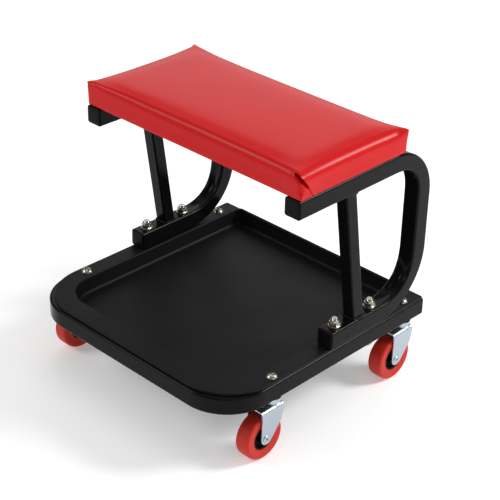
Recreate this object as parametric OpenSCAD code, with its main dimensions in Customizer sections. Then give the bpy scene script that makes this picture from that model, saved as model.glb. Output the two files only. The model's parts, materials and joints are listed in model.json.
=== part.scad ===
// Rolling creeper seat: a padded bench on two bent-tube side frames, bolted to a U-shaped
// tube base that holds a tool tray and stands on four swivel casters.
// Units are millimetres. The origin is on the floor, under the middle of the base.
// +X is the right-hand side, +Y the rear (the open end of the U), +Z up.

/* [Base frame] */
// Overall width of the base
base_w = 380; // [350:5:420]
// Overall depth of the base, from its front tube to the rear caps
base_d = 380; // [366:2:420]
// Size of the square tube of the base
base_tube = 25; // [22:0.5:28]
// Wall of the square tubes of base and side frames
tube_wall = 1.5; // [1.2:0.1:2.5]
// Outer corner radius of the square tubes
tube_corner_r = 3; // [2.6:0.1:4]
// Outer radius of the two front bends of the base
base_bend_r = 68; // [55:1:80]

/* [Side frames] */
// Size of the square tube of the side frames
rail_tube = 25; // [23:0.5:27]
// Height of a side frame from the underside of its foot rail to the top of its top rail
side_frame_h = 240; // [220:5:280]
// How far the side frames stand proud of the base on each side
side_frame_proud = 1.5; // [0:0.25:3]
// Front end of the foot rail
foot_front_y = -3.5; // [-20:0.5:0]
// How far the front end of the top rail reaches out in front of the seat
rail_front_overhang = 5; // [3:0.5:8]
// Rear face of the side frames
side_frame_back_y = 179.5; // [175:0.5:185]
// Outer radius of the lower bend
lower_bend_r = 87; // [78:1:90]
// Outer radius of the upper bend
upper_bend_r = 74; // [60:1:80]
// How much the tube gets shallower in the middle of a bend
bend_flatten = 3.5; // [0:0.25:4.5]
// How deep the inner wall is pressed in, in the middle of a bend
bend_dish = 3; // [0:0.25:4]
// Size of the square tube of the posts
post_tube = 19; // [16:0.5:22]
// Wall of the posts
post_wall = 1.2; // [1:0.1:2]
// Front face of a post where it stands on the foot rail
post_foot_y = 42.5; // [38:0.5:48]
// How far a post leans forward over its height
post_lean = 29; // [0:1:40]

/* [Tool tray] */
// Thickness of the tray's flange
flange_t = 3; // [2:0.5:4]
// Wall of the tray's well
well_wall = 2.5; // [2:0.25:3]
// Depth of the well, from the top of the flange to the floor
well_depth = 22; // [15:1:24]
// Width of the flange along the front
front_flange_w = 31; // [27:0.5:34]
// How far the flange stays back from the outer face of the side tubes
flange_side_inset = 1; // [0.5:0.25:2]
// How far the flange stays back from the outer face of the front tube
flange_front_inset = 4; // [2:0.5:6]
// Radius of the flange's two front corners
flange_corner_r = 75; // [70:1:80]
// Radius of the well's two front corners
well_front_r = 46; // [44:1:52]
// Radius of the well's two rear corners
well_rear_r = 8; // [7:1:16]
// Draw-in of the walls from the flange down to the floor
well_draft = 2.5; // [1:0.5:4]
// Fillet between wall and floor
well_fillet = 5; // [3:0.5:8]
// Rounding between flange and wall
flange_round = 2; // [1:0.25:2.5]
// Thickness of the rolled lip along the rear wall
lip_d = 5; // [4:0.5:6]
// How far the rolled lip stands above the flange
lip_rise = 2; // [1:0.5:2.4]

/* [Seat] */
// How far the seat reaches out over the base on each side
seat_overhang = 1; // [-8:0.5:4]
// Width of the seat, from front to rear
seat_w = 192; // [180:2:200]
// Thickness of the seat at its edges
seat_t = 33.5; // [30:0.5:45]
// Middle of the seat, from front to rear
seat_y = 25; // [20:1:30]
// Rise of the cushion's crown over its edges
seat_crown = 3.5; // [0:0.5:8]
// Draw-in of the long sides between the corners
side_draw = 2.5; // [0:0.25:4]
// Rounding of the cushion's top edges
seat_edge_r = 7; // [4:0.5:10]
// Radius of the seat's upright corners
seat_corner_r = 9; // [6:1:14]
// Thickness of the plywood board
board_t = 10; // [9:0.5:15]
// Thickness of the vinyl cover
cover_t = 1.2; // [1:0.1:1.5]
// Width of the cover that is turned in under the board
cover_turn_in = 33; // [32:0.5:36]

/* [Casters] */
// Diameter of the wheels
wheel_d = 63.5; // [60:0.5:65]
// Width of the wheels
wheel_w = 22; // [20:0.5:23]
// Diameter of the hub, inside the tyre
hub_d = 35.5; // [32:0.5:42]
// Height of the mounting face above the axle
axle_drop = 50.25; // [50:0.25:56]
// Distance of the axle behind the swivel axis
caster_trail = 21.5; // [19:0.5:24]
// Distance of the front casters' swivel axis from the front of the base
front_caster_inset = 92; // [80:1:100]
// Distance of the rear casters' swivel axis from the rear of the base
rear_caster_inset = 32; // [25:1:40]
// Thickness of the fork's plate
fork_plate = 2; // [1.8:0.1:2.4]
// Diameter of the fork's raised head
fork_head_d = 22.4; // [22:0.2:24]
// Diameter of the axle rivet
axle_d = 6; // [5:0.5:7]
// Number of balls in each swivel race
ball_count = 12; // [8:1:13]
// Diameter of the swivel balls
ball_d = 3.5; // [3:0.25:3.5]

/* [Fasteners] */
// Thread diameter of the bolts through base and side frames
bolt_d = 8; // [6:0.5:8]
// Thread diameter of the seat screws
screw_d = 6; // [5:0.5:6]
// Distance of the front bolts from the front end of the foot rails
front_bolt_inset = 18.5; // [17.5:0.5:22]
// Distance of the rear bolts from the start of the lower bends
rear_bolt_inset = 8.5; // [8.5:0.5:12]
// Distance of the seat screws from the middle of the seat
screw_spread = 66; // [50:1:70]
// Distance between the staples that hold the cover
staple_pitch = 25; // [20:1:40]

/* [Hidden] */
CORNERS = ["front_left", "front_right", "rear_left", "rear_right"];
CASTER_PIECES = ["race", "kingpin", "fork", "axle", "sleeve", "hub", "tyre"];
$fn = 48;

// Counts of the steps along rounded forms
corner_steps = 3;
bend_steps = 12;
dish_steps = 6;
plan_steps = 8;
shoulder_steps = 5;
seat_side_steps = 7;
seat_edge_steps = 4;
seat_dome_steps = 4;
lining_steps = 2;

// Clearances
overrun = 1;
thread_gap = 0.05;
bolt_hole_gap = 0.4;
axle_gap = 0.08;
swivel_gap = 0.09;
side_gap = 0.3;
plug_gap = 0.15;
foam_gap = 0.3;
ball_gap = 0.12;

// Heights
wheel_r = wheel_d / 2;
base_z = wheel_r + axle_drop;
base_top_z = base_z + base_tube;
flange_z = base_top_z + flange_t;
foot_top_z = flange_z + rail_tube;
rail_top_z = flange_z + side_frame_h;
rail_under_z = rail_top_z - rail_tube;
board_z = rail_top_z + cover_t;

// Places from side to side
seat_l = base_w + 2 * seat_overhang;
leg_x = (base_w - base_tube) / 2;
rail_x = base_w / 2 + side_frame_proud - rail_tube / 2;

// Places from front to rear
rail_front_y = seat_y - seat_w / 2 - rail_front_overhang;
front_caster_y = front_caster_inset - base_d / 2;
rear_caster_y = base_d / 2 - rear_caster_inset;
bolt_ys = [foot_front_y + front_bolt_inset, side_frame_back_y - lower_bend_r - rear_bolt_inset];
caster_ys = [front_caster_y, rear_caster_y];
screw_ys = [seat_y - screw_spread, seat_y + screw_spread];

// End caps of the tubes: flange thickness, depth of the plug and its hollow
cap_t = 2;
cap_plug = 11;
cap_wall = 1.6;
cap_rim_r = 1.2;

// Bolts, nuts and washers in the proportions of their thread diameter
hex_share = 1.625;
hex_bevel_share = 0.08;
hex_head_share = 0.66;
lock_nut_share = 0.98;
lock_hex_share = 0.65;
lock_collar_share = 1.42;
thin_nut_share = 0.8;
washer_share = 2.1;
washer_t = 1.6;
bolt_tail = 2.5;
dome_head_d = 15;
dome_head_h = 4.6;
cross_slot_l = 8;
cross_slot_w = 1.6;
cross_slot_depth = 2.4;
tee_barrel_wall = 1;
tee_barrel_l = 8;
tee_flange_d = 17;
tee_flange_t = 1.4;
staple_l = 10;
staple_w = 1.3;
staple_t = 0.7;
staple_edge = 28;
staple_clear = 3.5;

// Caster: the swivel race, the kingpin and the fork, measured down from the mounting face
race_t = 2;
race_rim = 3;
race_rim_t = 1.5;
ball_sink = 0.8;
ball_ring_share = 0.36;
race_gap = ball_d - 2 * ball_sink + ball_gap;
fork_top = race_t + race_gap;
head_rise = 4.4;
head_edge = 0.7;
head_flare = 2;
bridge_top = fork_top + head_rise;
kingpin_wall = 1.2;
kingpin_r = bolt_d / 2 + bolt_hole_gap / 2 + kingpin_wall;
kingpin_flange_w = 2.5;
kingpin_flange_t = 1.6;
kingpin_end = bridge_top + fork_plate + side_gap + kingpin_flange_t;
race_d = fork_head_d + 2 * (race_rim_t + side_gap);
ball_ring_r = fork_head_d * ball_ring_share;
fork_side_play = 0.8;
fork_inner = wheel_w / 2 + fork_side_play;
fork_outer = fork_inner + fork_plate;
fork_bend_r = 3.4;
fork_tip_r = 9.9;
fork_tip_shift = 1.1;
fork_rake = 1.2;
fork_shoulder_y = 8.7;
fork_shoulder_drop = 5.6;
fork_cheek_y = 7;
fork_cheek_share = 0.41;
fork_waist_y = 2.2;
fork_waist_share = 0.667;
rivet_head_d = 10;
rivet_head_t = 1.3;
rivet_bore_share = 0.55;
rivet_dimple = 2.2;
sleeve_wall = 1.8;
sleeve_r = axle_d / 2 + sleeve_wall;
hub_rim_t = 2.6;
hub_web_t = 7;
hub_boss_wall = 3.2;
hub_rim_inset = 2;
tyre_side_inset = 1.4;
tyre_shoulder_r = 3.5;
tyre_key_w = 5;
tyre_key_h = 1.4;

// A rectangle with rounded corners, centred, as points
function rounded_rectangle(w, h, r) = [
  for (quarter = [0:3], k = [0:corner_steps])
    let (a = 90 * (quarter + k / corner_steps),
         sx = (quarter == 0 || quarter == 3) ? 1 : -1,
         sy = quarter < 2 ? 1 : -1)
      [sx * (w / 2 - r) + r * cos(a), sy * (h / 2 - r) + r * sin(a)]];

// Triangles between loops of n points each, stacked from index first
function skin(loops, n, first) = [
  for (i = [0:loops - 2], j = [0:n - 1])
    let (a = first + i * n + j, b = first + i * n + (j + 1) % n)
      each [[a, b + n, b], [a, a + n, b + n]]];

// The same triangles seen from the other side
function turned(faces) = [for (f = faces) [f[0], f[2], f[1]]];

// Middle of a loop of points
function middle(loop) = [for (axis = [0:2]) [for (p = loop) p[axis]] * [for (p = loop) 1] / len(loop)];

// A closed solid through a stack of loops that all have the same number of points.
// Each end is closed by triangles round a point in its middle.
module loft(loops) {
  n = len(loops[0]);
  count = len(loops) * n;
  last = count - n;
  polyhedron(
    points = concat([for (loop = loops) each loop],
                    [middle(loops[0]), middle(loops[len(loops) - 1])]),
    faces = concat(skin(len(loops), n, 0),
                   [for (j = [0:n - 1]) [count, j, (j + 1) % n]],
                   [for (j = [0:n - 1]) [count + 1, last + (j + 1) % n, last + j]]));
}

// Hollow square section
module tube_section(size, wall) {
  difference() {
    polygon(rounded_rectangle(size, size, tube_corner_r));
    polygon(rounded_rectangle(size - 2 * wall, size - 2 * wall, tube_corner_r - wall));
  }
}

// A hexagonal prism with a bevelled outer rim, standing on z = 0
module hexagon(across, h) {
  bevel = across * hex_bevel_share;
  intersection() {
    cylinder(h = h, d = across / cos(30), $fn = 6);
    union() {
      cylinder(h = h - bevel, d = across / cos(30) + bevel);
      translate([0, 0, h - bevel])
        cylinder(h = bevel, d1 = across / cos(30) + bevel, d2 = across * cos(15));
    }
  }
}

// Plug for the end of a square tube, with its face at z = 0 and its plug towards +Z
module end_cap(size, wall) {
  inside = size - 2 * (wall + plug_gap);
  difference() {
    union() {
      linear_extrude(cap_t)
        polygon(rounded_rectangle(size, size, tube_corner_r));
      linear_extrude(cap_t + cap_plug)
        polygon(rounded_rectangle(inside, inside, cap_rim_r));
    }
    translate([0, 0, cap_t + cap_wall])
      linear_extrude(cap_plug)
        polygon(rounded_rectangle(inside - 2 * cap_wall, inside - 2 * cap_wall, cap_rim_r / 2));
  }
}

// Copies at the four casters: swivel axis at the origin, mounting face at z = 0
module at_casters() {
  for (side = [-1, 1], y = caster_ys)
    translate([side * leg_x, y, base_z]) children();
}

// Copies at the four foot rail bolts, on the floor plane
module at_frame_bolts() {
  for (side = [-1, 1], y = bolt_ys)
    translate([side * rail_x, y, 0]) children();
}

// Copies at the four seat screws, on the floor plane
module at_seat_screws() {
  for (side = [-1, 1], y = screw_ys)
    translate([side * rail_x, y, 0]) children();
}

// Bolt holes through everything between two heights
module frame_bolt_holes(low, high) {
  at_frame_bolts()
    translate([0, 0, low - overrun])
      cylinder(h = high - low + 2 * overrun, d = bolt_d + bolt_hole_gap);
}

module caster_bolt_holes(low, high) {
  at_casters()
    translate([0, 0, low - overrun])
      cylinder(h = high - low + 2 * overrun, d = bolt_d + bolt_hole_gap);
}

// Base: one square tube bent to a U that is open towards the rear
module base_frame() {
  bend_centre_r = base_bend_r - base_tube / 2;
  bend_x = base_w / 2 - base_bend_r;
  bend_y = base_bend_r - base_d / 2;
  leg_l = base_d / 2 - cap_t - bend_y;
  color("#26262a") difference() {
    translate([0, 0, base_z + base_tube / 2]) {
      translate([-bend_x, bend_y - bend_centre_r, 0])
        rotate([0, 90, 0]) linear_extrude(2 * bend_x) tube_section(base_tube, tube_wall);
      for (side = [-1, 1]) {
        translate([side * bend_x, bend_y, 0])
          rotate([0, 0, side > 0 ? -90 : 180])
            rotate_extrude(angle = 90)
              translate([bend_centre_r, 0]) tube_section(base_tube, tube_wall);
        translate([side * leg_x, bend_y, 0])
          rotate([-90, 0, 0]) linear_extrude(leg_l) tube_section(base_tube, tube_wall);
      }
    }
    frame_bolt_holes(base_z, base_top_z);
    caster_bolt_holes(0, base_tube);
  }
}

module base_end_caps() {
  color("#101012")
    for (side = [-1, 1])
      translate([side * leg_x, base_d / 2, base_z + base_tube / 2])
        rotate([90, 0, 0]) end_cap(base_tube, tube_wall);
}

// Outline of a pan seen from above: front corners and rear corners have their own radii
function pan_outline(half_w, front, rear, front_r, rear_r) = [
  for (quarter = [0:3], k = [0:plan_steps])
    let (a = 90 * (quarter + k / plan_steps),
         r = quarter < 2 ? rear_r : front_r,
         sx = (quarter == 0 || quarter == 3) ? 1 : -1,
         cy = quarter < 2 ? rear - rear_r : front + front_r)
      [sx * (half_w - r) + r * cos(a), cy + r * sin(a)]];

// Tray: a flange on the tubes round a shallow well, closed at the rear by a wall with a lip
well_half_w = base_w / 2 - base_tube - side_gap - well_wall;
well_front = front_flange_w + flange_front_inset - base_d / 2;
well_rear = base_d / 2 - cap_t - lip_d / 2 - well_wall / 2;
well_floor_z = flange_z - well_depth;

// Loops of the well's inside, or of its outside when grown by the wall
function well_loop(inset, z, grow) = [
  for (p = pan_outline(well_half_w + grow - inset, well_front - grow + inset,
                       well_rear + grow - inset, well_front_r + grow - inset,
                       well_rear_r + grow - inset))
    [p[0], p[1], z]];

function well_form(grow, top) = concat(
  [for (k = [0:corner_steps])
    let (a = 90 * k / corner_steps, r = well_fillet + grow)
      well_loop(well_draft + r * (1 - sin(a)), well_floor_z - grow + r * (1 - cos(a)), grow)],
  [well_loop(0, top, grow)]);

module tool_tray() {
  lip_y = well_rear + well_wall / 2;
  lip_half = well_half_w - well_rear_r + well_wall;
  color("#1c1c1e") {
    difference() {
      union() {
        translate([0, 0, base_top_z])
          linear_extrude(flange_t)
            polygon(pan_outline(base_w / 2 - flange_side_inset, flange_front_inset - base_d / 2,
                                base_d / 2 - cap_t, flange_corner_r, tube_corner_r));
        loft(well_form(well_wall, flange_z));
      }
      loft(concat(
        well_form(0, flange_z - flange_round),
        [for (k = [1:corner_steps])
          let (a = 90 * k / corner_steps)
            well_loop(-flange_round * (1 - cos(a)), flange_z - flange_round * (1 - sin(a)), 0)],
        [well_loop(-flange_round, flange_z + overrun, 0)]));
      frame_bolt_holes(base_top_z, flange_z);
      caster_bolt_holes(base_tube, base_tube + flange_t);
    }
    translate([-lip_half, lip_y, flange_z + lip_rise - lip_d / 2])
      rotate([0, 90, 0]) cylinder(h = 2 * lip_half, d = lip_d);
    for (side = [-1, 1])
      translate([side * lip_half, lip_y, flange_z + lip_rise - lip_d / 2]) sphere(d = lip_d);
  }
}

// Section of a side frame's tube: u across it, v inwards from its outer face.
// Inside a bend the tube gets shallower and its inner wall is dished.
function rail_section(wall, flatten, dish) =
  let (half = rail_tube / 2 - wall, deep = rail_tube - flatten - wall, r = tube_corner_r - wall)
    concat(
      [for (k = [0:corner_steps]) let (a = 90 * k / corner_steps)
        [half - r + r * sin(a), wall + r - r * cos(a)]],
      [for (k = [0:corner_steps]) let (a = 90 * k / corner_steps)
        [half - r + r * cos(a), deep - r + r * sin(a)]],
      [for (k = [1:dish_steps - 1]) let (share = k / dish_steps)
        [(half - r) * (1 - 2 * share), deep - dish * pow(sin(180 * share), 2)]],
      [for (k = [0:corner_steps]) let (a = 90 * k / corner_steps)
        [r - half - r * sin(a), deep - r + r * cos(a)]],
      [for (k = [0:corner_steps]) let (a = 90 * k / corner_steps)
        [r - half - r * cos(a), wall + r - r * sin(a)]]);

// Stations along a side frame's outer face, from the front of the foot rail round to the front
// of the top rail: y, z, heading and how far the bend has formed the tube there
function bend_stations(r, cy, cz, start) = [
  for (k = [0:bend_steps])
    let (a = start + 90 * k / bend_steps)
      [cy + r * sin(a), cz - r * cos(a), a, pow(sin(180 * k / bend_steps), 2)]];

rail_stations = concat(
  [[foot_front_y + cap_t, flange_z, 0, 0]],
  bend_stations(lower_bend_r, side_frame_back_y - lower_bend_r, flange_z + lower_bend_r, 0),
  bend_stations(upper_bend_r, side_frame_back_y - upper_bend_r, rail_top_z - upper_bend_r, 90),
  [[rail_front_y + cap_t, rail_top_z, 180, 0]]);

function rail_skin(wall) = [
  for (s = rail_stations, p = rail_section(wall, s[3] * bend_flatten, s[3] * bend_dish))
    [p[0], s[0] - p[1] * sin(s[2]), s[1] + p[1] * cos(s[2])]];

// Side frame: one square tube from the foot rail round the back up to the top rail
module side_frame(side) {
  n = len(rail_section(0, 0, 0));
  loops = len(rail_stations);
  inner = n * loops;
  last = n * (loops - 1);
  rim = [for (j = [0:n - 1]) let (i = (j + 1) % n)
    each [[j, i, inner + i], [j, inner + i, inner + j]]];
  color("#1d1d20") difference() {
    translate([side * rail_x, 0, 0])
      polyhedron(
        points = concat(rail_skin(0), rail_skin(tube_wall)),
        faces = concat(skin(loops, n, 0), turned(skin(loops, n, inner)), rim,
                       [for (f = turned(rim)) [for (i = f) i + last]]));
    frame_bolt_holes(flange_z, foot_top_z);
    at_seat_screws()
      translate([0, 0, rail_under_z - overrun])
        cylinder(h = rail_tube + 2 * overrun, d = screw_d + bolt_hole_gap);
  }
}

module left_side_frame() { side_frame(-1); }
module right_side_frame() { side_frame(1); }

// Caps in the front ends of the top rails and of the foot rails
module rail_caps(front, z) {
  color("#101012")
    for (side = [-1, 1])
      translate([side * rail_x, front, z + rail_tube / 2])
        rotate([-90, 0, 0]) end_cap(rail_tube, tube_wall);
}

module rail_end_caps() { rail_caps(rail_front_y, rail_under_z); }
module foot_end_caps() { rail_caps(foot_front_y, flange_z); }

// Post: a smaller square tube, leaning forward, mitred to stand flat between the two rails
module post(side) {
  rise = rail_under_z - foot_top_z;
  lean = atan(post_lean / rise);
  length = rise / cos(lean) + 2 * post_tube;
  color("#1d1d20") intersection() {
    translate([side * rail_x, post_foot_y + post_tube / 2 / cos(lean), foot_top_z])
      rotate([lean, 0, 0]) translate([0, 0, -post_tube])
        linear_extrude(length) difference() {
          polygon(rounded_rectangle(post_tube, post_tube, tube_corner_r * post_tube / rail_tube));
          polygon(rounded_rectangle(post_tube - 2 * post_wall, post_tube - 2 * post_wall,
                                    tube_corner_r * post_tube / rail_tube - post_wall));
        }
    translate([side * rail_x - post_tube, post_foot_y - post_lean - overrun, foot_top_z])
      cube([2 * post_tube, post_lean + 2 * post_tube, rise]);
  }
}

module left_post() { post(-1); }
module right_post() { post(1); }

// Seat: a plywood board, a foam pad and a vinyl cover pulled round both.
// A loop of the seat's form: its long and short sides draw in between the corners.
function seat_loop(inset, draw, z, crown) = [
  for (quarter = [0:3], k = [0:corner_steps + seat_side_steps])
    let (a = 90 * (quarter + min(k, corner_steps) / corner_steps),
         run = max(k - corner_steps, 0) / (seat_side_steps + 1),
         r = max(seat_corner_r - inset, seat_corner_r / 4),
         half_l = seat_l / 2 - inset,
         half_w = seat_w / 2 - inset,
         sx = (quarter == 0 || quarter == 3) ? 1 : -1,
         sy = quarter < 2 ? 1 : -1,
         x = sx * (half_l - r) + r * cos(a),
         y = sy * (half_w - r) + r * sin(a),
         along = quarter % 2 == 0,
         px = along ? x * (1 - 2 * run) : x,
         py = along ? y : y * (1 - 2 * run),
         pull = draw * pow(sin(180 * run), 2))
      [px - (along ? 0 : sign(px) * pull),
       seat_y + py - (along ? sign(py) * pull : 0),
       z + crown * (1 - pow(2 * px / seat_l, 2)) * (1 - pow(2 * py / seat_w, 2))]];

// Loops of the seat's whole form, or of what lies inside the cover when shrunk
function seat_form(shrink, low, edge_steps, dome_steps) =
  let (top = rail_top_z + seat_t - shrink, r = seat_edge_r - shrink)
    concat(
      [seat_loop(shrink, 0, low, 0),
       seat_loop(shrink, side_draw / 2, low + board_t, 0),
       seat_loop(shrink, side_draw, (low + board_t + top - r) / 2, 0)],
      [for (k = [0:edge_steps]) let (a = 90 * k / edge_steps)
        seat_loop(shrink + r * (1 - cos(a)), side_draw, top - r * (1 - sin(a)),
                  seat_crown * k / edge_steps)],
      [for (k = [1:dome_steps]) let (share = k / (dome_steps + 1))
        seat_loop(shrink + r + (seat_w / 2 - shrink - r) * share, side_draw * (1 - share),
                  top, seat_crown)]);

module seat_board() {
  inset = cover_t + foam_gap + side_draw;
  color("#b08a58") difference() {
    translate([0, seat_y, board_z])
      linear_extrude(board_t)
        polygon(rounded_rectangle(seat_l - 2 * inset, seat_w - 2 * inset, seat_corner_r));
    at_seat_screws()
      translate([0, 0, board_z - overrun])
        cylinder(h = board_t + 2 * overrun, d = screw_d + 2 * tee_barrel_wall + 2 * plug_gap);
    at_seat_screws()
      translate([0, 0, board_z + board_t - tee_flange_t])
        cylinder(h = tee_flange_t + overrun, d = tee_flange_d + 2 * plug_gap);
  }
}

module seat_foam() {
  color("#d9cfa8") intersection() {
    loft(seat_form(cover_t + foam_gap, board_z, lining_steps, lining_steps));
    translate([-seat_l, seat_y - seat_w, board_z + board_t])
      cube([2 * seat_l, 2 * seat_w, seat_t + seat_crown]);
  }
}

module seat_cover() {
  open_l = seat_l - 2 * cover_turn_in;
  open_w = seat_w - 2 * cover_turn_in;
  color("#c9222a") difference() {
    loft(seat_form(0, rail_top_z, seat_edge_steps, seat_dome_steps));
    loft(seat_form(cover_t, board_z, lining_steps, lining_steps));
    translate([0, seat_y, rail_top_z - overrun])
      linear_extrude(cover_t + 2 * overrun)
        polygon(rounded_rectangle(open_l, open_w, seat_corner_r));
    at_seat_screws()
      translate([0, 0, rail_top_z - overrun])
        cylinder(h = cover_t + 2 * overrun, d = screw_d + 2 * bolt_hole_gap);
  }
}

module staple(x, y) {
  translate([-x / 2, -y / 2, 0]) cube([x, y, staple_t]);
}

// Staples in the turned-in edge of the cover, clear of the two top rails
module seat_staples() {
  row_l = seat_l - 2 * (rail_tube + staple_edge);
  row_w = seat_w - 2 * staple_edge;
  along = floor(row_l / staple_pitch);
  across = floor(row_w / staple_pitch);
  rail_inner = rail_x - rail_tube / 2;
  color("#c8c8c4") translate([0, seat_y, rail_top_z - staple_t]) {
    for (side = [-1, 1], k = [0:along])
      translate([row_l * (k / along - 1 / 2), side * (seat_w - staple_edge) / 2, 0])
        staple(staple_l, staple_w);
    for (side = [-1, 1], k = [0:across])
      translate([side * (rail_inner - staple_clear), row_w * (k / across - 1 / 2), 0])
        staple(staple_w, staple_l);
  }
}

// Screws from under the top rails into tee nuts in the board
module seat_screws() {
  head_h = screw_d * hex_head_share;
  length = rail_tube + cover_t + board_t - tee_flange_t;
  color("#c3c4c0") at_seat_screws() {
    translate([0, 0, rail_under_z - head_h])
      mirror([0, 0, 1]) translate([0, 0, -head_h]) hexagon(screw_d * hex_share, head_h);
    translate([0, 0, rail_under_z]) cylinder(h = length, d = screw_d);
  }
}

module seat_tee_nuts() {
  color("#b9bab6") at_seat_screws() difference() {
    union() {
      translate([0, 0, board_z + board_t - tee_barrel_l])
        cylinder(h = tee_barrel_l, d = screw_d + 2 * tee_barrel_wall);
      translate([0, 0, board_z + board_t - tee_flange_t])
        cylinder(h = tee_flange_t, d = tee_flange_d);
    }
    translate([0, 0, board_z - overrun])
      cylinder(h = board_t + 2 * overrun, d = screw_d + 2 * thread_gap);
  }
}

// Bolts up through base tube, tray flange and foot rail, with a washer and a lock nut on top
module frame_bolts() {
  head_h = bolt_d * hex_head_share;
  length = foot_top_z - base_z + washer_t + bolt_d * lock_nut_share + bolt_tail;
  color("#c3c4c0") at_frame_bolts() {
    translate([0, 0, base_z - head_h])
      mirror([0, 0, 1]) translate([0, 0, -head_h]) hexagon(bolt_d * hex_share, head_h);
    translate([0, 0, base_z]) cylinder(h = length - bolt_tail / 2, d = bolt_d);
    translate([0, 0, base_z + length - bolt_tail / 2])
      cylinder(h = bolt_tail / 2, d1 = bolt_d, d2 = bolt_d - bolt_tail / 2);
  }
}

module frame_washers() {
  color("#c9c9c4") at_frame_bolts() translate([0, 0, foot_top_z]) difference() {
    cylinder(h = washer_t, d = bolt_d * washer_share);
    translate([0, 0, -overrun]) cylinder(h = washer_t + 2 * overrun, d = bolt_d + bolt_hole_gap);
  }
}

// Lock nut: a hexagon with a round collar on top
module frame_nuts() {
  hex_h = bolt_d * lock_nut_share * lock_hex_share;
  collar = bolt_d * lock_nut_share - hex_h;
  color("#cfcdc2") at_frame_bolts() translate([0, 0, foot_top_z + washer_t]) difference() {
    union() {
      hexagon(bolt_d * hex_share, hex_h);
      cylinder(h = hex_h + collar / 2, d = bolt_d * lock_collar_share);
      translate([0, 0, hex_h + collar / 2])
        cylinder(h = collar / 2, d1 = bolt_d * lock_collar_share, d2 = bolt_d * lock_collar_share - collar);
    }
    translate([0, 0, -overrun])
      cylinder(h = bolt_d * lock_nut_share + 2 * overrun, d = bolt_d + 2 * thread_gap);
  }
}

// Domed bolts down through tray flange and base tube into the casters
module caster_bolts() {
  top = base_tube + flange_t;
  dome_r = (pow(dome_head_d / 2, 2) + pow(dome_head_h, 2)) / (2 * dome_head_h);
  nut_h = bolt_d * thin_nut_share;
  color("#d4d6d6") at_casters() {
    translate([0, 0, top]) difference() {
      intersection() {
        cylinder(h = dome_head_h, d = dome_head_d);
        translate([0, 0, dome_head_h - dome_r]) sphere(r = dome_r);
      }
      for (turn = [0, 90])
        rotate([0, 0, turn])
          translate([-cross_slot_l / 2, -cross_slot_w / 2, dome_head_h - cross_slot_depth])
            cube([cross_slot_l, cross_slot_w, cross_slot_depth + overrun]);
    }
    translate([0, 0, -kingpin_end - nut_h - bolt_tail / 2])
      cylinder(h = kingpin_end + nut_h + bolt_tail / 2 + top, d = bolt_d);
  }
}

module caster_nuts() {
  nut_h = bolt_d * thin_nut_share;
  color("#c9cac8") at_casters() translate([0, 0, -kingpin_end]) mirror([0, 0, 1]) difference() {
    hexagon(bolt_d * hex_share, nut_h);
    translate([0, 0, -overrun]) cylinder(h = nut_h + 2 * overrun, d = bolt_d + 2 * thread_gap);
  }
}

// Swivel balls, in the groove between the fixed race and the fork's head
module caster_balls() {
  color("#e4e6e8") at_casters()
    for (k = [0:ball_count - 1])
      rotate([0, 0, 360 * k / ball_count])
        translate([ball_ring_r, 0, -race_t - race_gap / 2]) sphere(d = ball_d);
}

module ball_groove(z) {
  translate([0, 0, z])
    rotate_extrude() translate([ball_ring_r, 0]) circle(d = ball_d + 2 * ball_gap);
}

// Fixed race: a pressed disc with a turned-down rim, clamped under the base tube
module caster_race() {
  color("#b9c3cc") difference() {
    translate([0, 0, -race_t - race_rim]) cylinder(h = race_t + race_rim, d = race_d);
    translate([0, 0, -race_t - race_rim - overrun])
      cylinder(h = race_rim + overrun, d = race_d - 2 * race_rim_t);
    translate([0, 0, -race_t - overrun])
      cylinder(h = race_t + 2 * overrun, d = bolt_d + bolt_hole_gap);
    ball_groove(-race_t - race_gap / 2);
  }
}

// Kingpin: a flanged sleeve on the bolt, which carries the fork between race and flange
module caster_kingpin() {
  color("#aab4bd") difference() {
    union() {
      translate([0, 0, -kingpin_end]) cylinder(h = kingpin_end - race_t, r = kingpin_r);
      translate([0, 0, -kingpin_end]) cylinder(h = kingpin_flange_t, r = kingpin_r + kingpin_flange_w);
    }
    translate([0, 0, -kingpin_end - overrun])
      cylinder(h = kingpin_end + 2 * overrun, d = bolt_d + bolt_hole_gap);
  }
}

// Outline of the fork's leg seen from the side: swivel axis at 0, the wheel hangs towards -Y.
// The rounded tip is joined by a straight edge that touches it, from the waist point down.
module fork_side() {
  tip = [fork_tip_shift - caster_trail, fork_tip_shift - axle_drop];
  waist = [fork_waist_y, -axle_drop * fork_waist_share];
  reach = waist - tip;
  touch = atan2(reach[1], reach[0]) - acos(fork_tip_r / norm(reach));
  polygon([
    [tip[0] - fork_tip_r + fork_rake, 0],
    [tip[0] - fork_tip_r + fork_rake, -bridge_top - fork_bend_r],
    [tip[0] - fork_tip_r, tip[1]],
    [tip[0], tip[1] - fork_tip_r / 2],
    [tip[0] + fork_tip_r * cos(touch), tip[1] + fork_tip_r * sin(touch)],
    waist,
    [fork_cheek_y, -axle_drop * fork_cheek_share],
    [fork_shoulder_y, -bridge_top - fork_shoulder_drop],
    [fork_shoulder_y, 0]]);
  translate(tip) circle(r = fork_tip_r);
}

// Section of the fork across its legs: a channel with rounded upper edges
module fork_channel() {
  deep = axle_drop + fork_tip_r + overrun;
  difference() {
    union() {
      translate([-fork_outer, -deep]) square([2 * fork_outer, deep - bridge_top - fork_bend_r]);
      translate([fork_bend_r - fork_outer, -bridge_top - 2 * fork_bend_r])
        square([2 * (fork_outer - fork_bend_r), 2 * fork_bend_r]);
      for (side = [-1, 1])
        translate([side * (fork_outer - fork_bend_r), -bridge_top - fork_bend_r]) circle(r = fork_bend_r);
    }
    translate([-fork_inner, -deep - overrun])
      square([2 * fork_inner, deep + overrun - bridge_top - fork_plate]);
  }
}

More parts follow.
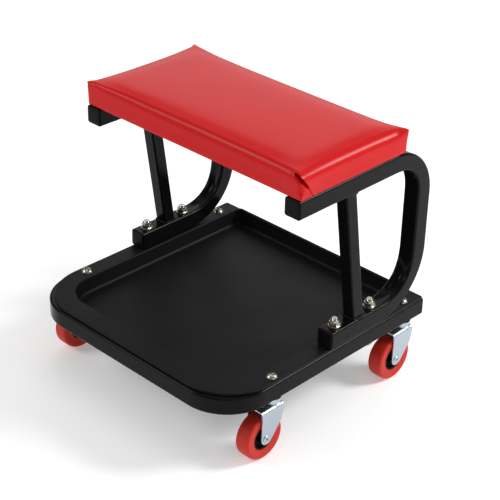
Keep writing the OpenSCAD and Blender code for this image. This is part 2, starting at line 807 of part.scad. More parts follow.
// Fork: a pressed plate bent to a channel, with a raised head that holds the ball groove
module caster_fork() {
  head_r = fork_head_d / 2;
  reach = caster_trail + fork_tip_r + overrun;
  color("#c2cdd6") difference() {
    union() {
      intersection() {
        translate([0, fork_shoulder_y + overrun, 0])
          rotate([90, 0, 0]) linear_extrude(fork_shoulder_y + reach + overrun) fork_channel();
        translate([-fork_outer - overrun, 0, 0])
          rotate([90, 0, 90]) linear_extrude(2 * (fork_outer + overrun)) fork_side();
      }
      rotate_extrude() polygon([
        [0, -fork_top],
        [head_r - head_edge, -fork_top],
        [head_r, -fork_top - head_edge],
        [head_r, -race_t - race_rim - side_gap],
        [head_r + head_flare / 2, -bridge_top + head_flare / 2],
        [head_r + head_flare, -bridge_top],
        [head_r + head_flare, -bridge_top - fork_plate],
        [0, -bridge_top - fork_plate]]);
    }
    translate([0, 0, -bridge_top - fork_plate - overrun])
      cylinder(h = head_rise + fork_plate + 2 * overrun, r = kingpin_r + swivel_gap);
    ball_groove(-race_t - race_gap / 2);
    translate([-fork_outer - overrun, -caster_trail, -axle_drop])
      rotate([0, 90, 0]) cylinder(h = 2 * (fork_outer + overrun), d = axle_d + 2 * thread_gap);
  }
}

// Revolves the children about the axle and sets them at the wheel
module at_axle() {
  translate([0, -caster_trail, -axle_drop]) rotate([0, 90, 0]) children();
}

// Axle: a rivet through both legs, its two ends formed over the plate
module caster_axle() {
  color("#c8ccce") at_axle() difference() {
    union() {
      cylinder(h = 2 * fork_outer, d = axle_d, center = true);
      for (side = [0, 180])
        rotate([0, side, 0]) translate([0, 0, fork_outer]) {
          cylinder(h = rivet_head_t / 2, d = rivet_head_d);
          translate([0, 0, rivet_head_t / 2])
            cylinder(h = rivet_head_t / 2, d1 = rivet_head_d, d2 = rivet_head_d - rivet_head_t);
        }
    }
    for (side = [0, 180])
      rotate([0, side, 0]) translate([0, 0, fork_outer + rivet_head_t - rivet_dimple])
        cylinder(h = rivet_dimple + overrun, d = axle_d * rivet_bore_share);
  }
}

// Sleeve on the axle, clamped between the legs, on which the hub turns
module caster_sleeve() {
  color("#aeb6bc") at_axle() difference() {
    cylinder(h = 2 * fork_inner, r = sleeve_r, center = true);
    cylinder(h = 2 * (fork_inner + overrun), d = axle_d + 2 * thread_gap, center = true);
  }
}

// Hub: a moulded wheel centre with a thin web between its boss and its rim
module caster_hub() {
  rim_r = hub_d / 2;
  boss_r = sleeve_r + hub_boss_wall;
  boss_half = fork_inner - side_gap;
  rim_half = wheel_w / 2 - hub_rim_inset;
  color("#161618") at_axle() rotate_extrude() difference() {
    union() {
      translate([0, -boss_half]) square([boss_r, 2 * boss_half]);
      translate([0, -hub_web_t / 2]) square([rim_r, hub_web_t]);
      translate([rim_r - hub_rim_t, -rim_half]) square([hub_rim_t, 2 * rim_half]);
      translate([rim_r - overrun, -tyre_key_w / 2]) square([tyre_key_h + overrun, tyre_key_w]);
    }
    translate([-overrun, -boss_half - overrun])
      square([sleeve_r + axle_gap + overrun, 2 * (boss_half + overrun)]);
  }
}

// Tyre: moulded on the hub's rim, with rounded shoulders
module caster_tyre() {
  rim_r = hub_d / 2;
  side_half = wheel_w / 2 - tyre_side_inset;
  profile = [for (side = [-1, 1], k = [0:shoulder_steps])
    let (a = 90 * (side < 0 ? k : shoulder_steps - k) / shoulder_steps)
      [wheel_r - tyre_shoulder_r * (1 - sin(a)),
       side * (wheel_w / 2 - tyre_shoulder_r * (1 - cos(a)))]];
  color("#b5372c") at_axle() rotate_extrude() difference() {
    polygon(concat([[rim_r, side_half], [rim_r, -side_half]], profile));
    translate([rim_r - overrun, -tyre_key_w / 2]) square([tyre_key_h + overrun, tyre_key_w]);
  }
}

// One piece of one caster. Left-hand casters mirror the right-hand ones.
module caster_piece(corner, piece) {
  side = (corner == "front_left" || corner == "rear_left") ? -1 : 1;
  y = (corner == "front_left" || corner == "front_right") ? front_caster_y : rear_caster_y;
  translate([side * leg_x, y, base_z]) {
    if (piece == "race") caster_race();
    if (piece == "kingpin") caster_kingpin();
    if (piece == "fork") caster_fork();
    if (piece == "axle") caster_axle();
    if (piece == "sleeve") caster_sleeve();
    if (piece == "hub") caster_hub();
    if (piece == "tyre") caster_tyre();
  }
}

base_frame();
base_end_caps();
tool_tray();
left_side_frame();
right_side_frame();
left_post();
right_post();
rail_end_caps();
foot_end_caps();
seat_board();
seat_foam();
seat_cover();
seat_staples();
seat_screws();
seat_tee_nuts();
frame_bolts();
frame_washers();
frame_nuts();
caster_bolts();
caster_nuts();
caster_balls();
for (corner = CORNERS, piece = CASTER_PIECES)
  caster_piece(corner, piece);
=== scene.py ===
# %% [markdown]
# # A rolling workshop seat, dressed in Blender
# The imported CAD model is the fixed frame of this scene. It says where every tube, bolt and
# wheel is, and it is never moved. Here each piece gets the surface of the real one, and the
# pieces whose form matters most to the eye are made again with finer meshes in the same place.

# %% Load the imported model
import json
import math

import bmesh
import bpy
import numpy as np
from mathutils import Matrix, Vector


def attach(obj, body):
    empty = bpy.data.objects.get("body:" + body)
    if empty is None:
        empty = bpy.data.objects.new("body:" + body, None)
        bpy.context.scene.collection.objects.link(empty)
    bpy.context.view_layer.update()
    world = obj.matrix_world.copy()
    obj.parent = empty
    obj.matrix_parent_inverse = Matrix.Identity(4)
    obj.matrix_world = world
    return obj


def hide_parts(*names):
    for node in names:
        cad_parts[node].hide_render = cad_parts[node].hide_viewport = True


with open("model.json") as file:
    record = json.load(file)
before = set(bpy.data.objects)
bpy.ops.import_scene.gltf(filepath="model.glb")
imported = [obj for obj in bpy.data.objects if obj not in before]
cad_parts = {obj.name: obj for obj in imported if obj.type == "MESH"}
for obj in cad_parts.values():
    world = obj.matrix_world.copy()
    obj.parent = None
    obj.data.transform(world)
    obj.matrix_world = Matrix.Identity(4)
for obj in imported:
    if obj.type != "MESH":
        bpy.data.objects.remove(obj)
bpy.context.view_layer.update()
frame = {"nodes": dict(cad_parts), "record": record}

MM = 0.001

# %% [markdown]
# ## Camera
# A product photograph is taken from some way off with a long lens, so that parallel tubes
# stay nearly parallel. The lens and the place were worked out from the straight tubes: the
# camera looks down by thirty degrees over the right front corner. A camera could also be
# aimed with a Track To constraint, but a matrix made from three angles says exactly what it is.

# %% Camera
CAMERA_PLACE = (1.16986, -1.18228, 1.12997)
YAW, PITCH, ROLL = math.radians(43.49), math.radians(29.80), math.radians(-1.48)
FOCAL_MM, SENSOR_MM = 103.33, 36
SHIFT_X, SHIFT_Y = -0.0082, 0.0021

forward = Vector((-math.sin(YAW) * math.cos(PITCH), math.cos(YAW) * math.cos(PITCH), -math.sin(PITCH)))
level = Vector((math.cos(YAW), math.sin(YAW), 0))
fall = forward.cross(level)
right = math.cos(ROLL) * level + math.sin(ROLL) * fall
down = math.cos(ROLL) * fall - math.sin(ROLL) * level

lens = bpy.data.cameras.new("product_camera")
lens.lens, lens.sensor_width = FOCAL_MM, SENSOR_MM
lens.shift_x, lens.shift_y = SHIFT_X, SHIFT_Y
lens.clip_start, lens.clip_end = 0.05, 60
camera = bpy.data.objects.new("product_camera", lens)
aim = Matrix((right, -down, -forward)).transposed().to_4x4()
camera.matrix_world = Matrix.Translation(CAMERA_PLACE) @ aim
bpy.context.scene.collection.objects.link(camera)
bpy.context.scene.camera = camera
print("camera looks along", [round(v, 3) for v in forward])

# %% [markdown]
# ## Colours and shader nodes
# Colours are picked on a screen, so they are written as sRGB hex values. Blender's
# shaders work with linear light, and one function turns the first into the second. Another
# small function adds a shader node, sets it and wires it up, so that each material below
# reads as a short list of what lies on its surface.

# %% Colour and node helpers
def linear(code):
    """An sRGB hex value such as "c0ffee" as linear red, green, blue and alpha."""
    parts = [int(code[i:i + 2], 16) / 255 for i in (0, 2, 4)]
    return [c / 12.92 if c <= 0.04045 else ((c + 0.055) / 1.055) ** 2.4 for c in parts] + [1]


def add_node(material, kind, inputs=(), **settings):
    """Adds a shader node, sets its properties, and gives each input a value or a link."""
    new = material.node_tree.nodes.new("ShaderNode" + kind)
    for name, value in settings.items():
        setattr(new, name, value)
    for name, value in dict(inputs).items():
        if isinstance(value, bpy.types.NodeSocket):
            material.node_tree.links.new(value, new.inputs[name])
        else:
            new.inputs[name].default_value = value
    return new


def per_metre(size_mm):
    """The scale that makes a pattern repeat about once in that many millimetres."""
    return 1 / (size_mm * MM)


def new_material(name):
    """A material with an output node, and the place on the piece in metres to draw patterns by."""
    material = bpy.data.materials.new(name)
    material.use_nodes = True
    material.node_tree.nodes.clear()
    place = add_node(material, "TexCoord").outputs["Object"]
    return material, place


def close_material(material, surface):
    """Wires the finished surface to the material's output."""
    add_node(material, "OutputMaterial", {"Surface": surface.outputs["BSDF"]})
    print("material", material.name, "has", len(material.node_tree.nodes), "nodes")
    return material


# %% [markdown]
# ## Powder coat on steel
# The tubes are mild steel, sprayed with a dry powder that melts in an oven to a thick gloss
# skin. It flows out almost flat and leaves a fine orange peel, which shows only where a lamp
# is mirrored in it. A noise some two millimetres wide, used as a very weak bump, gives that.
# The specular level is low, because a bright pale studio would otherwise veil the black.

# %% Powder coated steel
powder_coated_steel, place = new_material("powder_coated_steel")
peel = add_node(powder_coated_steel, "TexNoise",
                {"Vector": place, "Scale": per_metre(2.2), "Detail": 1.5})
peel_bump = add_node(powder_coated_steel, "Bump",
                     {"Height": peel.outputs["Fac"], "Strength": 0.10, "Distance": 0.3 * MM})
haze = add_node(powder_coated_steel, "TexNoise",
                {"Vector": place, "Scale": per_metre(28), "Detail": 3})
haze_range = add_node(powder_coated_steel, "MapRange",
                      {"Value": haze.outputs["Fac"], "To Min": 0.12, "To Max": 0.20})
close_material(powder_coated_steel, add_node(
    powder_coated_steel, "BsdfPrincipled",
    {"Base Color": linear("0b0b0c"), "IOR": 1.5, "Specular IOR Level": 0.09,
     "Roughness": haze_range.outputs["Result"], "Normal": peel_bump.outputs["Normal"]}))

# %% [markdown]
# ## Moulded plastics
# The tray is one large moulding. Its mould is etched with a fine grain, so that the black
# plastic looks satin and hides scratches. The end caps come from polished moulds and are a
# little glossier, and so are the wheel centres. The grain is a noise well under a millimetre
# wide. The tray also has the faint rings that the plastic leaves round the point where it
# was injected, in the middle of the floor.

# %% Polypropylene of the tray
RING_PITCH = 6.0
RING_REACH = 26.0
GATE_PLACE = (0, 0.014, 0.088)
polypropylene, place = new_material("polypropylene_tray")
grain = add_node(polypropylene, "TexNoise", {"Vector": place, "Scale": per_metre(0.9), "Detail": 2})
from_gate = add_node(polypropylene, "VectorMath",
                     {0: place, 1: GATE_PLACE}, operation="DISTANCE").outputs["Value"]
rings = add_node(polypropylene, "Math", {0: from_gate, 1: 2 * math.pi / (RING_PITCH * MM)},
                 operation="MULTIPLY")
ripple = add_node(polypropylene, "Math", {0: rings.outputs[0]}, operation="COSINE")
fade = add_node(polypropylene, "MapRange",
                {"Value": from_gate, "From Min": 0, "From Max": RING_REACH * MM, "To Min": 1, "To Max": 0})
faint_rings = add_node(polypropylene, "Math", {0: ripple.outputs[0], 1: fade.outputs["Result"]},
                       operation="MULTIPLY")
grain_bump = add_node(polypropylene, "Bump",
                      {"Height": grain.outputs["Fac"], "Strength": 0.22, "Distance": 0.2 * MM})
ring_bump = add_node(polypropylene, "Bump",
                     {"Height": faint_rings.outputs[0], "Strength": 0.10, "Distance": 0.3 * MM,
                      "Normal": grain_bump.outputs["Normal"]})
smear = add_node(polypropylene, "TexNoise", {"Vector": place, "Scale": per_metre(60), "Detail": 4})
smear_range = add_node(polypropylene, "MapRange",
                       {"Value": smear.outputs["Fac"], "To Min": 0.42, "To Max": 0.56})
close_material(polypropylene, add_node(
    polypropylene, "BsdfPrincipled",
    {"Base Color": linear("121214"), "IOR": 1.49, "Specular IOR Level": 0.14,
     "Roughness": smear_range.outputs["Result"], "Normal": ring_bump.outputs["Normal"]}))


# %% [markdown]
# The caps and the wheel centres are plain mouldings without rings, so one function makes
# both. Their gloss wanders a little over a centimetre, as the polish of a mould does.

# %% Plain moulded plastics: end caps and wheel centres
def moulded_plastic(name, colour, grain_mm, strength, rough):
    """A plain moulded plastic: one colour, a fine grain, and gloss that wanders a little."""
    material, place = new_material(name)
    grain = add_node(material, "TexNoise", {"Vector": place, "Scale": per_metre(grain_mm), "Detail": 2})
    bump = add_node(material, "Bump",
                    {"Height": grain.outputs["Fac"], "Strength": strength, "Distance": 0.1 * MM})
    wander = add_node(material, "TexNoise", {"Vector": place, "Scale": per_metre(12), "Detail": 3})
    gloss = add_node(material, "MapRange",
                     {"Value": wander.outputs["Fac"], "To Min": rough - 0.05, "To Max": rough + 0.07})
    return close_material(material, add_node(
        material, "BsdfPrincipled",
        {"Base Color": linear(colour), "IOR": 1.5, "Specular IOR Level": 0.06,
         "Roughness": gloss.outputs["Result"], "Normal": bump.outputs["Normal"]}))


polyethylene_caps = moulded_plastic("polyethylene_caps", "0f0f10", 0.7, 0.10, 0.38)
nylon_hub = moulded_plastic("nylon_hub", "121213", 0.6, 0.12, 0.42)

# %% [markdown]
# ## Cast polyurethane tread
# The tyres are cast on their hubs from coloured polyurethane, a tough rubbery plastic. It is
# semi-matt where it left the mould and slightly rubbed on the tread, where it has rolled. A
# little light goes into it and comes out again, which keeps its shadows warm.

# %% Polyurethane of the tyres
polyurethane, place = new_material("polyurethane_tyre")
grain = add_node(polyurethane, "TexNoise", {"Vector": place, "Scale": per_metre(0.8), "Detail": 2})
grain_bump = add_node(polyurethane, "Bump",
                      {"Height": grain.outputs["Fac"], "Strength": 0.12, "Distance": 0.15 * MM})
tint = add_node(polyurethane, "TexNoise", {"Vector": place, "Scale": per_metre(9), "Detail": 4})
tyre_red = add_node(polyurethane, "Mix",
                    {0: tint.outputs["Fac"], 6: linear("bb2a20"), 7: linear("cb3628")}, data_type="RGBA")
rubbed = add_node(polyurethane, "MapRange", {"Value": tint.outputs["Fac"], "To Min": 0.40, "To Max": 0.54})
close_material(polyurethane, add_node(
    polyurethane, "BsdfPrincipled",
    {"Base Color": tyre_red.outputs[2], "IOR": 1.5, "Specular IOR Level": 0.2,
     "Roughness": rubbed.outputs["Result"],
     "Subsurface Weight": 0.08, "Subsurface Radius": (0.9, 0.25, 0.15), "Subsurface Scale": 2 * MM,
     "Normal": grain_bump.outputs["Normal"]}))


# %% [markdown]
# ## Zinc plating
# Forks, nuts and bolts are steel with a thin coat of zinc from a plating bath. The pressed
# forks are bright and slightly blue, and the fasteners carry a passivation that warms them.
# Zinc is a metal, so all of its colour is in its reflection. The plating follows the rolled
# sheet beneath, with soft cloudy patches where the gloss changes. The staple wire and the
# bearing balls are metals with a like skin, duller and brighter, so they use it too.

# %% Zinc plated steel, and two other bare metals
def zinc_plated_steel(name, colour, rough, cloud_mm):
    """Zinc on steel: a tinted metal, cloudy in its gloss, with the fine grit of the plating."""
    material, place = new_material(name)
    clouds = add_node(material, "TexNoise", {"Vector": place, "Scale": per_metre(cloud_mm), "Detail": 5})
    gloss = add_node(material, "MapRange",
                     {"Value": clouds.outputs["Fac"], "To Min": rough - 0.03, "To Max": rough + 0.04})
    grit = add_node(material, "TexNoise", {"Vector": place, "Scale": per_metre(0.5), "Detail": 2})
    bump = add_node(material, "Bump",
                    {"Height": grit.outputs["Fac"], "Strength": 0.10, "Distance": 0.05 * MM})
    return close_material(material, add_node(
        material, "BsdfPrincipled",
        {"Base Color": linear(colour), "Metallic": 1.0, "Roughness": gloss.outputs["Result"],
         "Normal": bump.outputs["Normal"]}))


zinc_fork = zinc_plated_steel("zinc_plated_steel_bright", "b6c0ca", 0.30, 9)
zinc_fastener = zinc_plated_steel("zinc_plated_steel_warm", "aca89e", 0.24, 4)
galvanised_wire = zinc_plated_steel("galvanised_wire", "bdbdb8", 0.38, 2)
ball_steel = zinc_plated_steel("polished_ball_steel", "dfe1e4", 0.14, 3)

# %% [markdown]
# ## Vinyl of the seat
# The cover is PVC vinyl on a thin knitted back, embossed while warm with a fine leather
# grain. It has a soft gloss: a lamp turns into a pale streak with blurred ends along each
# rolled edge, and the flat top stays even. The grain is made of small cells about a
# millimetre wide, rounded by a noise, and the dye hardly wanders.

# %% PVC vinyl
pvc_vinyl, place = new_material("pvc_vinyl")
drift = add_node(pvc_vinyl, "TexNoise", {"Vector": place, "Scale": per_metre(3), "Detail": 2})
wobble = add_node(pvc_vinyl, "Mix", {0: 0.6 * MM, 4: place, 5: drift.outputs["Color"]}, data_type="VECTOR")
cells = add_node(pvc_vinyl, "TexVoronoi", {"Vector": wobble.outputs[1], "Scale": per_metre(1.3)},
                 feature="SMOOTH_F1")
pores = add_node(pvc_vinyl, "TexNoise", {"Vector": place, "Scale": per_metre(0.7), "Detail": 2})
grain_mix = add_node(pvc_vinyl, "Mix", {0: 0.4, 2: cells.outputs["Distance"], 3: pores.outputs["Fac"]})
grain_bump = add_node(pvc_vinyl, "Bump",
                      {"Height": grain_mix.outputs[0], "Strength": 0.16, "Distance": 0.2 * MM})
dye = add_node(pvc_vinyl, "TexNoise", {"Vector": place, "Scale": per_metre(45), "Detail": 3})
vinyl_red = add_node(pvc_vinyl, "Mix",
                     {0: dye.outputs["Fac"], 6: linear("c6171a"), 7: linear("cf1b1d")}, data_type="RGBA")
sheen = add_node(pvc_vinyl, "MapRange", {"Value": dye.outputs["Fac"], "To Min": 0.23, "To Max": 0.28})
close_material(pvc_vinyl, add_node(
    pvc_vinyl, "BsdfPrincipled",
    {"Base Color": vinyl_red.outputs[2], "IOR": 1.53, "Specular IOR Level": 0.12,
     "Roughness": sheen.outputs["Result"], "Normal": grain_bump.outputs["Normal"]}))

# %% [markdown]
# ## Board and foam
# Under the vinyl lie a plywood board and a slab of foam. The board shows from below, between
# the turned-in edges of the cover. Its face grain runs along the seat in long pale streaks,
# and its edge shows the layers. The foam is an open sponge with pores under a millimetre,
# and each pore's hollow is painted darker as painted shade.

# %% Plywood and foam
birch_plywood, place = new_material("birch_plywood")
along = add_node(birch_plywood, "Mapping", {"Vector": place, "Scale": (0.06, 1, 1)})
streaks = add_node(birch_plywood, "TexNoise",
                   {"Vector": along.outputs["Vector"], "Scale": per_metre(2.5), "Detail": 5})
layers = add_node(birch_plywood, "TexWave",
                  {"Vector": place, "Scale": per_metre(40), "Distortion": 0.4}, bands_direction="Z")
grain_mix = add_node(birch_plywood, "Mix", {0: 0.3, 2: streaks.outputs["Fac"], 3: layers.outputs["Fac"]})
wood = add_node(birch_plywood, "Mix",
                {0: grain_mix.outputs[0], 6: linear("a9804c"), 7: linear("d8b883")}, data_type="RGBA")
wood_bump = add_node(birch_plywood, "Bump",
                     {"Height": streaks.outputs["Fac"], "Strength": 0.25, "Distance": 0.2 * MM})
close_material(birch_plywood, add_node(
    birch_plywood, "BsdfPrincipled",
    {"Base Color": wood.outputs[2], "Roughness": 0.62, "Normal": wood_bump.outputs["Normal"]}))

polyether_foam, place = new_material("polyether_foam")
pores = add_node(polyether_foam, "TexVoronoi", {"Vector": place, "Scale": per_metre(0.8)})
# The pores are painted darker where the bump sinks them: painted shade in their hollows.
foam_tone_with_pore_shade = add_node(polyether_foam, "Mix",
                       {0: pores.outputs["Distance"], 6: linear("b9ab7c"), 7: linear("e3d8b0")},
                       data_type="RGBA")
pore_bump = add_node(polyether_foam, "Bump",
                     {"Height": pores.outputs["Distance"], "Strength": 0.5, "Distance": 0.4 * MM})
close_material(polyether_foam, add_node(
    polyether_foam, "BsdfPrincipled",
    {"Base Color": foam_tone_with_pore_shade.outputs[2], "Roughness": 0.9, "Normal": pore_bump.outputs["Normal"]}))

# %% [markdown]
# ## Materials of the CAD pieces
# A CAD piece whose form is already right keeps its own mesh. It only changes its material,
# chosen by the material slot that the record gives to it. Every piece gets one, also those
# that a finer mesh will hide below. The axle rivets are plated together with their forks.

# %% Dress the CAD pieces
SLOT_MATERIALS = {
    "tube_powder_coat": powder_coated_steel, "tray_plastic": polypropylene, "cap_plastic": polyethylene_caps,
    "plywood": birch_plywood, "foam": polyether_foam, "vinyl": pvc_vinyl, "staple_steel": galvanised_wire,
    "zinc_fastener": zinc_fastener, "zinc_fork": zinc_fork, "ball_steel": ball_steel,
    "hub_plastic": nylon_hub, "tyre_urethane": polyurethane}
for subpart in frame["record"]["subparts"]:
    node = frame["nodes"][subpart["node"]]
    node.data.materials.clear()
    is_axle = subpart["node"].endswith("_axle")
    node.data.materials.append(zinc_fork if is_axle else SLOT_MATERIALS[subpart["material_slot"]])


# %% [markdown]
# ## Making a piece from rings
# Most pieces here are skins: a row of rings with the same number of points, joined to one
# another. A bent tube is its section repeated along a curve, a tray is its outline shrunk
# step by step, and a wheel is a profile turned about an axle. Writing the points ourselves,
# rather than adding a primitive and editing it, ties each ring to a real size. Sizes are in
# millimetres, as in the CAD source, and become metres in one place.

# %% Skins, turned forms and the piece maker
def skin(rings, closed=True, capped=True):
    """Points and faces of a surface through a row of rings, all with the same number of points."""
    rings = np.asarray(rings, float)
    count, around = rings.shape[:2]
    faces = []
    for i in range(count - 1):
        for j in range(around if closed else around - 1):
            a, b = i * around + j, i * around + (j + 1) % around
            faces.append((a, b, b + around, a + around))
    if capped:
        faces.append(tuple(range(around))[::-1])
        faces.append(tuple(range((count - 1) * around, count * around)))
    return rings.reshape(-1, 3), faces


def join(*forms):
    """Several forms as one list of points and faces."""
    points, faces, first = [], [], 0
    for form_points, form_faces in forms:
        points.append(np.asarray(form_points, float))
        faces += [tuple(i + first for i in face) for face in form_faces]
        first += len(form_points)
    return np.concatenate(points), faces


def turn_profile(profile, steps=64):
    """Turns a closed profile of (radius, height) points about the Z axis."""
    angles = np.linspace(0, 2 * math.pi, steps, endpoint=False)
    rings = [[(r * math.cos(a), r * math.sin(a), h) for r, h in profile] for a in angles]
    return skin(rings + [rings[0]], capped=False)


def moved(form, offset=(0, 0, 0), axes=((1, 0, 0), (0, 1, 0), (0, 0, 1))):
    """A form whose own x, y and z directions become the given axes, moved by the offset."""
    points, faces = form
    return np.asarray(points, float) @ np.asarray(axes, float) + np.asarray(offset, float), faces


MERGE = 0.002


def make_piece(name, form, material, body, replaces=(), sharp=32):
    """Makes a smooth-shaded piece from a form in millimetres, and hands it to the frame."""
    points, faces = form
    mesh = bpy.data.meshes.new(name)
    mesh.from_pydata([tuple(p) for p in points * MM], [], faces)
    work = bmesh.new()
    work.from_mesh(mesh)
    bmesh.ops.remove_doubles(work, verts=work.verts, dist=MERGE * MM)
    bmesh.ops.dissolve_degenerate(work, edges=work.edges, dist=MERGE * MM)
    unused = [point for point in work.verts if not point.link_faces]
    bmesh.ops.delete(work, geom=unused, context="VERTS")
    bmesh.ops.recalc_face_normals(work, faces=work.faces)
    work.to_mesh(mesh)
    work.free()
    mesh.shade_smooth()
    mesh.set_sharp_from_angle(angle=math.radians(sharp))
    mesh.materials.append(material)
    piece = bpy.data.objects.new(name, mesh)
    bpy.context.scene.collection.objects.link(piece)
    even = piece.modifiers.new("even_flats", "WEIGHTED_NORMAL")
    even.keep_sharp = True
    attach(piece, body)
    if replaces:
        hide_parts(*replaces)
    print(name, "has", len(mesh.vertices), "points")
    return piece


# %% [markdown]
# ## Square tube
# The whole frame is made of square steel tube with softly rounded corners. Its section is
# drawn once. The corners need several points each, because the eye reads the quality of a
# tube from the thin line of light that runs along its rounded edges.

# %% Section of a square tube
TUBE = 25.0
TUBE_WALL = 1.5
TUBE_CORNER = 3.0
CORNER_STEPS = 6


def rounded_rectangle(width, height, radius, steps=CORNER_STEPS):
    """A rectangle with rounded corners, centred, as points in a plane."""
    points = []
    for quarter, (sx, sy) in enumerate(((1, 1), (-1, 1), (-1, -1), (1, -1))):
        for k in range(steps + 1):
            a = math.pi / 2 * (quarter + k / steps)
            points.append((sx * (width / 2 - radius) + radius * math.cos(a),
                           sy * (height / 2 - radius) + radius * math.sin(a)))
    return np.array(points)


# %% [markdown]
# ## Base
# One tube is bent to a U in a tube bender. The bends are round arcs, so the section simply
# turns along them. The open ends stop two millimetres short, where the caps sit.

# %% Base tube
BASE_W, BASE_D, BASE_Z = 380.0, 380.0, 82.0
BASE_BEND = 68.0
CAP_T = 2.0
LEG_X = (BASE_W - TUBE) / 2
BEND_STEPS = 28

base_path = [(-LEG_X, BASE_D / 2 - CAP_T, 180.0)]
for side in (-1, 1):
    for k in range(BEND_STEPS + 1):
        turn = 90 * (k / BEND_STEPS) + (180 if side < 0 else 270)
        radius = BASE_BEND - TUBE / 2
        centre = (side * (BASE_W / 2 - BASE_BEND), BASE_BEND - BASE_D / 2)
        base_path.append((centre[0] + radius * math.cos(math.radians(turn)),
                          centre[1] + radius * math.sin(math.radians(turn)), turn))
base_path.append((LEG_X, BASE_D / 2 - CAP_T, 360.0))

tube_ring = rounded_rectangle(TUBE, TUBE, TUBE_CORNER)
base_rings = [[(x + u * math.cos(math.radians(a)), y + u * math.sin(math.radians(a)),
                BASE_Z + TUBE / 2 + v) for u, v in tube_ring] for x, y, a in base_path]
make_piece("base_tube", skin(base_rings), powder_coated_steel, "frame",
           ["base_frame"])

# %% [markdown]
# ## Side frames
# Each side is one square tube pressed round a former without a mandrel. The inside of such
# a bend gets too short, so its wall buckles inwards in a neat dish, and the tube becomes a
# little shallower there. That dish catches the light as a bright streak and is what tells
# the eye that this is a bent tube. The same section rule as in the CAD source is used here,
# with three times as many steps.

# %% Side frame tubes
FLANGE_Z = 110.0
SIDE_H = 240.0
RAIL_X = 179.0
RAIL_TOP = FLANGE_Z + SIDE_H
RAIL_UNDER = RAIL_TOP - TUBE
FOOT_TOP = FLANGE_Z + TUBE
FOOT_FRONT, RAIL_FRONT, FRAME_BACK = -3.5, -76.0, 179.5
LOWER_BEND, UPPER_BEND = 87.0, 74.0
FLATTEN, DISH = 3.5, 3.0
DISH_STEPS = 14


def crushed_section(formed):
    """The tube's section inside a bend: u across, v inwards from its outer face."""
    half, deep, r = TUBE / 2, TUBE - formed * FLATTEN, TUBE_CORNER
    swing = [math.pi / 2 * k / CORNER_STEPS for k in range(CORNER_STEPS + 1)]
    ring = [(half - r + r * math.sin(a), r - r * math.cos(a)) for a in swing]
    ring += [(half - r + r * math.cos(a), deep - r + r * math.sin(a)) for a in swing]
    for k in range(1, DISH_STEPS):
        share = k / DISH_STEPS
        ring.append(((half - r) * (1 - 2 * share),
                     deep - formed * DISH * math.sin(math.pi * share) ** 2))
    ring += [(r - half - r * math.sin(a), deep - r + r * math.cos(a)) for a in swing]
    ring += [(r - half - r * math.cos(a), r - r * math.sin(a)) for a in swing]
    return ring


def bend_stations(radius, y, z, start):
    """Places along the outer face of a bend: y, z, heading and how far the tube is formed there."""
    stations = []
    for k in range(BEND_STEPS + 1):
        a = math.radians(start + 90 * k / BEND_STEPS)
        stations.append((y + radius * math.sin(a), z - radius * math.cos(a), a,
                         math.sin(math.pi * k / BEND_STEPS) ** 2))
    return stations


frame_stations = (
    [(FOOT_FRONT + CAP_T, FLANGE_Z, 0.0, 0.0)]
    + bend_stations(LOWER_BEND, FRAME_BACK - LOWER_BEND, FLANGE_Z + LOWER_BEND, 0)
    + bend_stations(UPPER_BEND, FRAME_BACK - UPPER_BEND, RAIL_TOP - UPPER_BEND, 90)
    + [(RAIL_FRONT + CAP_T, RAIL_TOP, math.pi, 0.0)])
for side, name in ((-1, "left"), (1, "right")):
    frame_rings = [[(side * RAIL_X + u, y - v * math.sin(a), z + v * math.cos(a))
                    for u, v in crushed_section(formed)] for y, z, a, formed in frame_stations]
    make_piece(name + "_bent_tube", skin(frame_rings), powder_coated_steel, "frame",
               [name + "_side_frame"])

# %% [markdown]
# ## Posts and their welds
# A smaller square tube props each top rail. It leans forward, so its ends are cut at a
# slant, and it is welded all round. A weld bead is laid in short dabs, and each dab leaves
# a ripple. Here a small round bead follows the cut edge of the post, thicker and thinner
# every few millimetres, and it is coated together with the tube.

# %% Posts with weld beads
POST = 19.0
POST_CORNER = TUBE_CORNER * POST / TUBE
POST_FOOT, POST_LEAN = 42.5, 29.0
post_rise = RAIL_UNDER - FOOT_TOP
post_angle = math.atan(POST_LEAN / post_rise)
post_depth = POST / math.cos(post_angle)
DAB = 3.2
BEAD_R, BEAD_RIPPLE, BEAD_WANDER = 2.1, 0.35, 0.25


def post_ring(z, grow=0.0):
    """The post's outline where a level plane cuts it."""
    y = POST_FOOT + post_depth / 2 - POST_LEAN * (z - FOOT_TOP) / post_rise
    ring = rounded_rectangle(POST + 2 * grow, post_depth + 2 * grow, POST_CORNER + grow)
    return [(u, y + v, z) for u, v in ring]


def even_loop(ring, step):
    """Points spaced evenly along a closed loop."""
    ring = np.array(list(ring) + [ring[0]], float)
    run = np.concatenate([[0], np.cumsum(np.linalg.norm(np.diff(ring, axis=0), axis=1))])
    at = np.linspace(0, run[-1], max(8, int(run[-1] / step)), endpoint=False)
    return np.stack([np.interp(at, run, ring[:, k]) for k in range(3)], axis=1), at


def weld_bead(z, upward, seed):
    """A rippled bead along the post's end, lying in the corner between post and rail."""
    loop, run = even_loop(post_ring(z), DAB / 8)
    centre = loop.mean(axis=0)
    chance = np.random.default_rng(seed)
    rough = np.interp(run, np.linspace(0, run[-1], 24), chance.uniform(-BEAD_WANDER, BEAD_WANDER, 24))
    rings = []
    for point, s, r0 in zip(loop, run, rough):
        outward = point - centre
        outward[2] = 0
        outward /= np.linalg.norm(outward)
        radius = BEAD_R + BEAD_RIPPLE * abs(math.sin(math.pi * s / DAB)) + r0
        rings.append([point + radius * (outward * math.cos(t) + np.array([0, 0, upward]) * math.sin(t))
                      for t in np.linspace(0, 2 * math.pi, 12, endpoint=False)])
    return skin(rings + [rings[0]], capped=False)


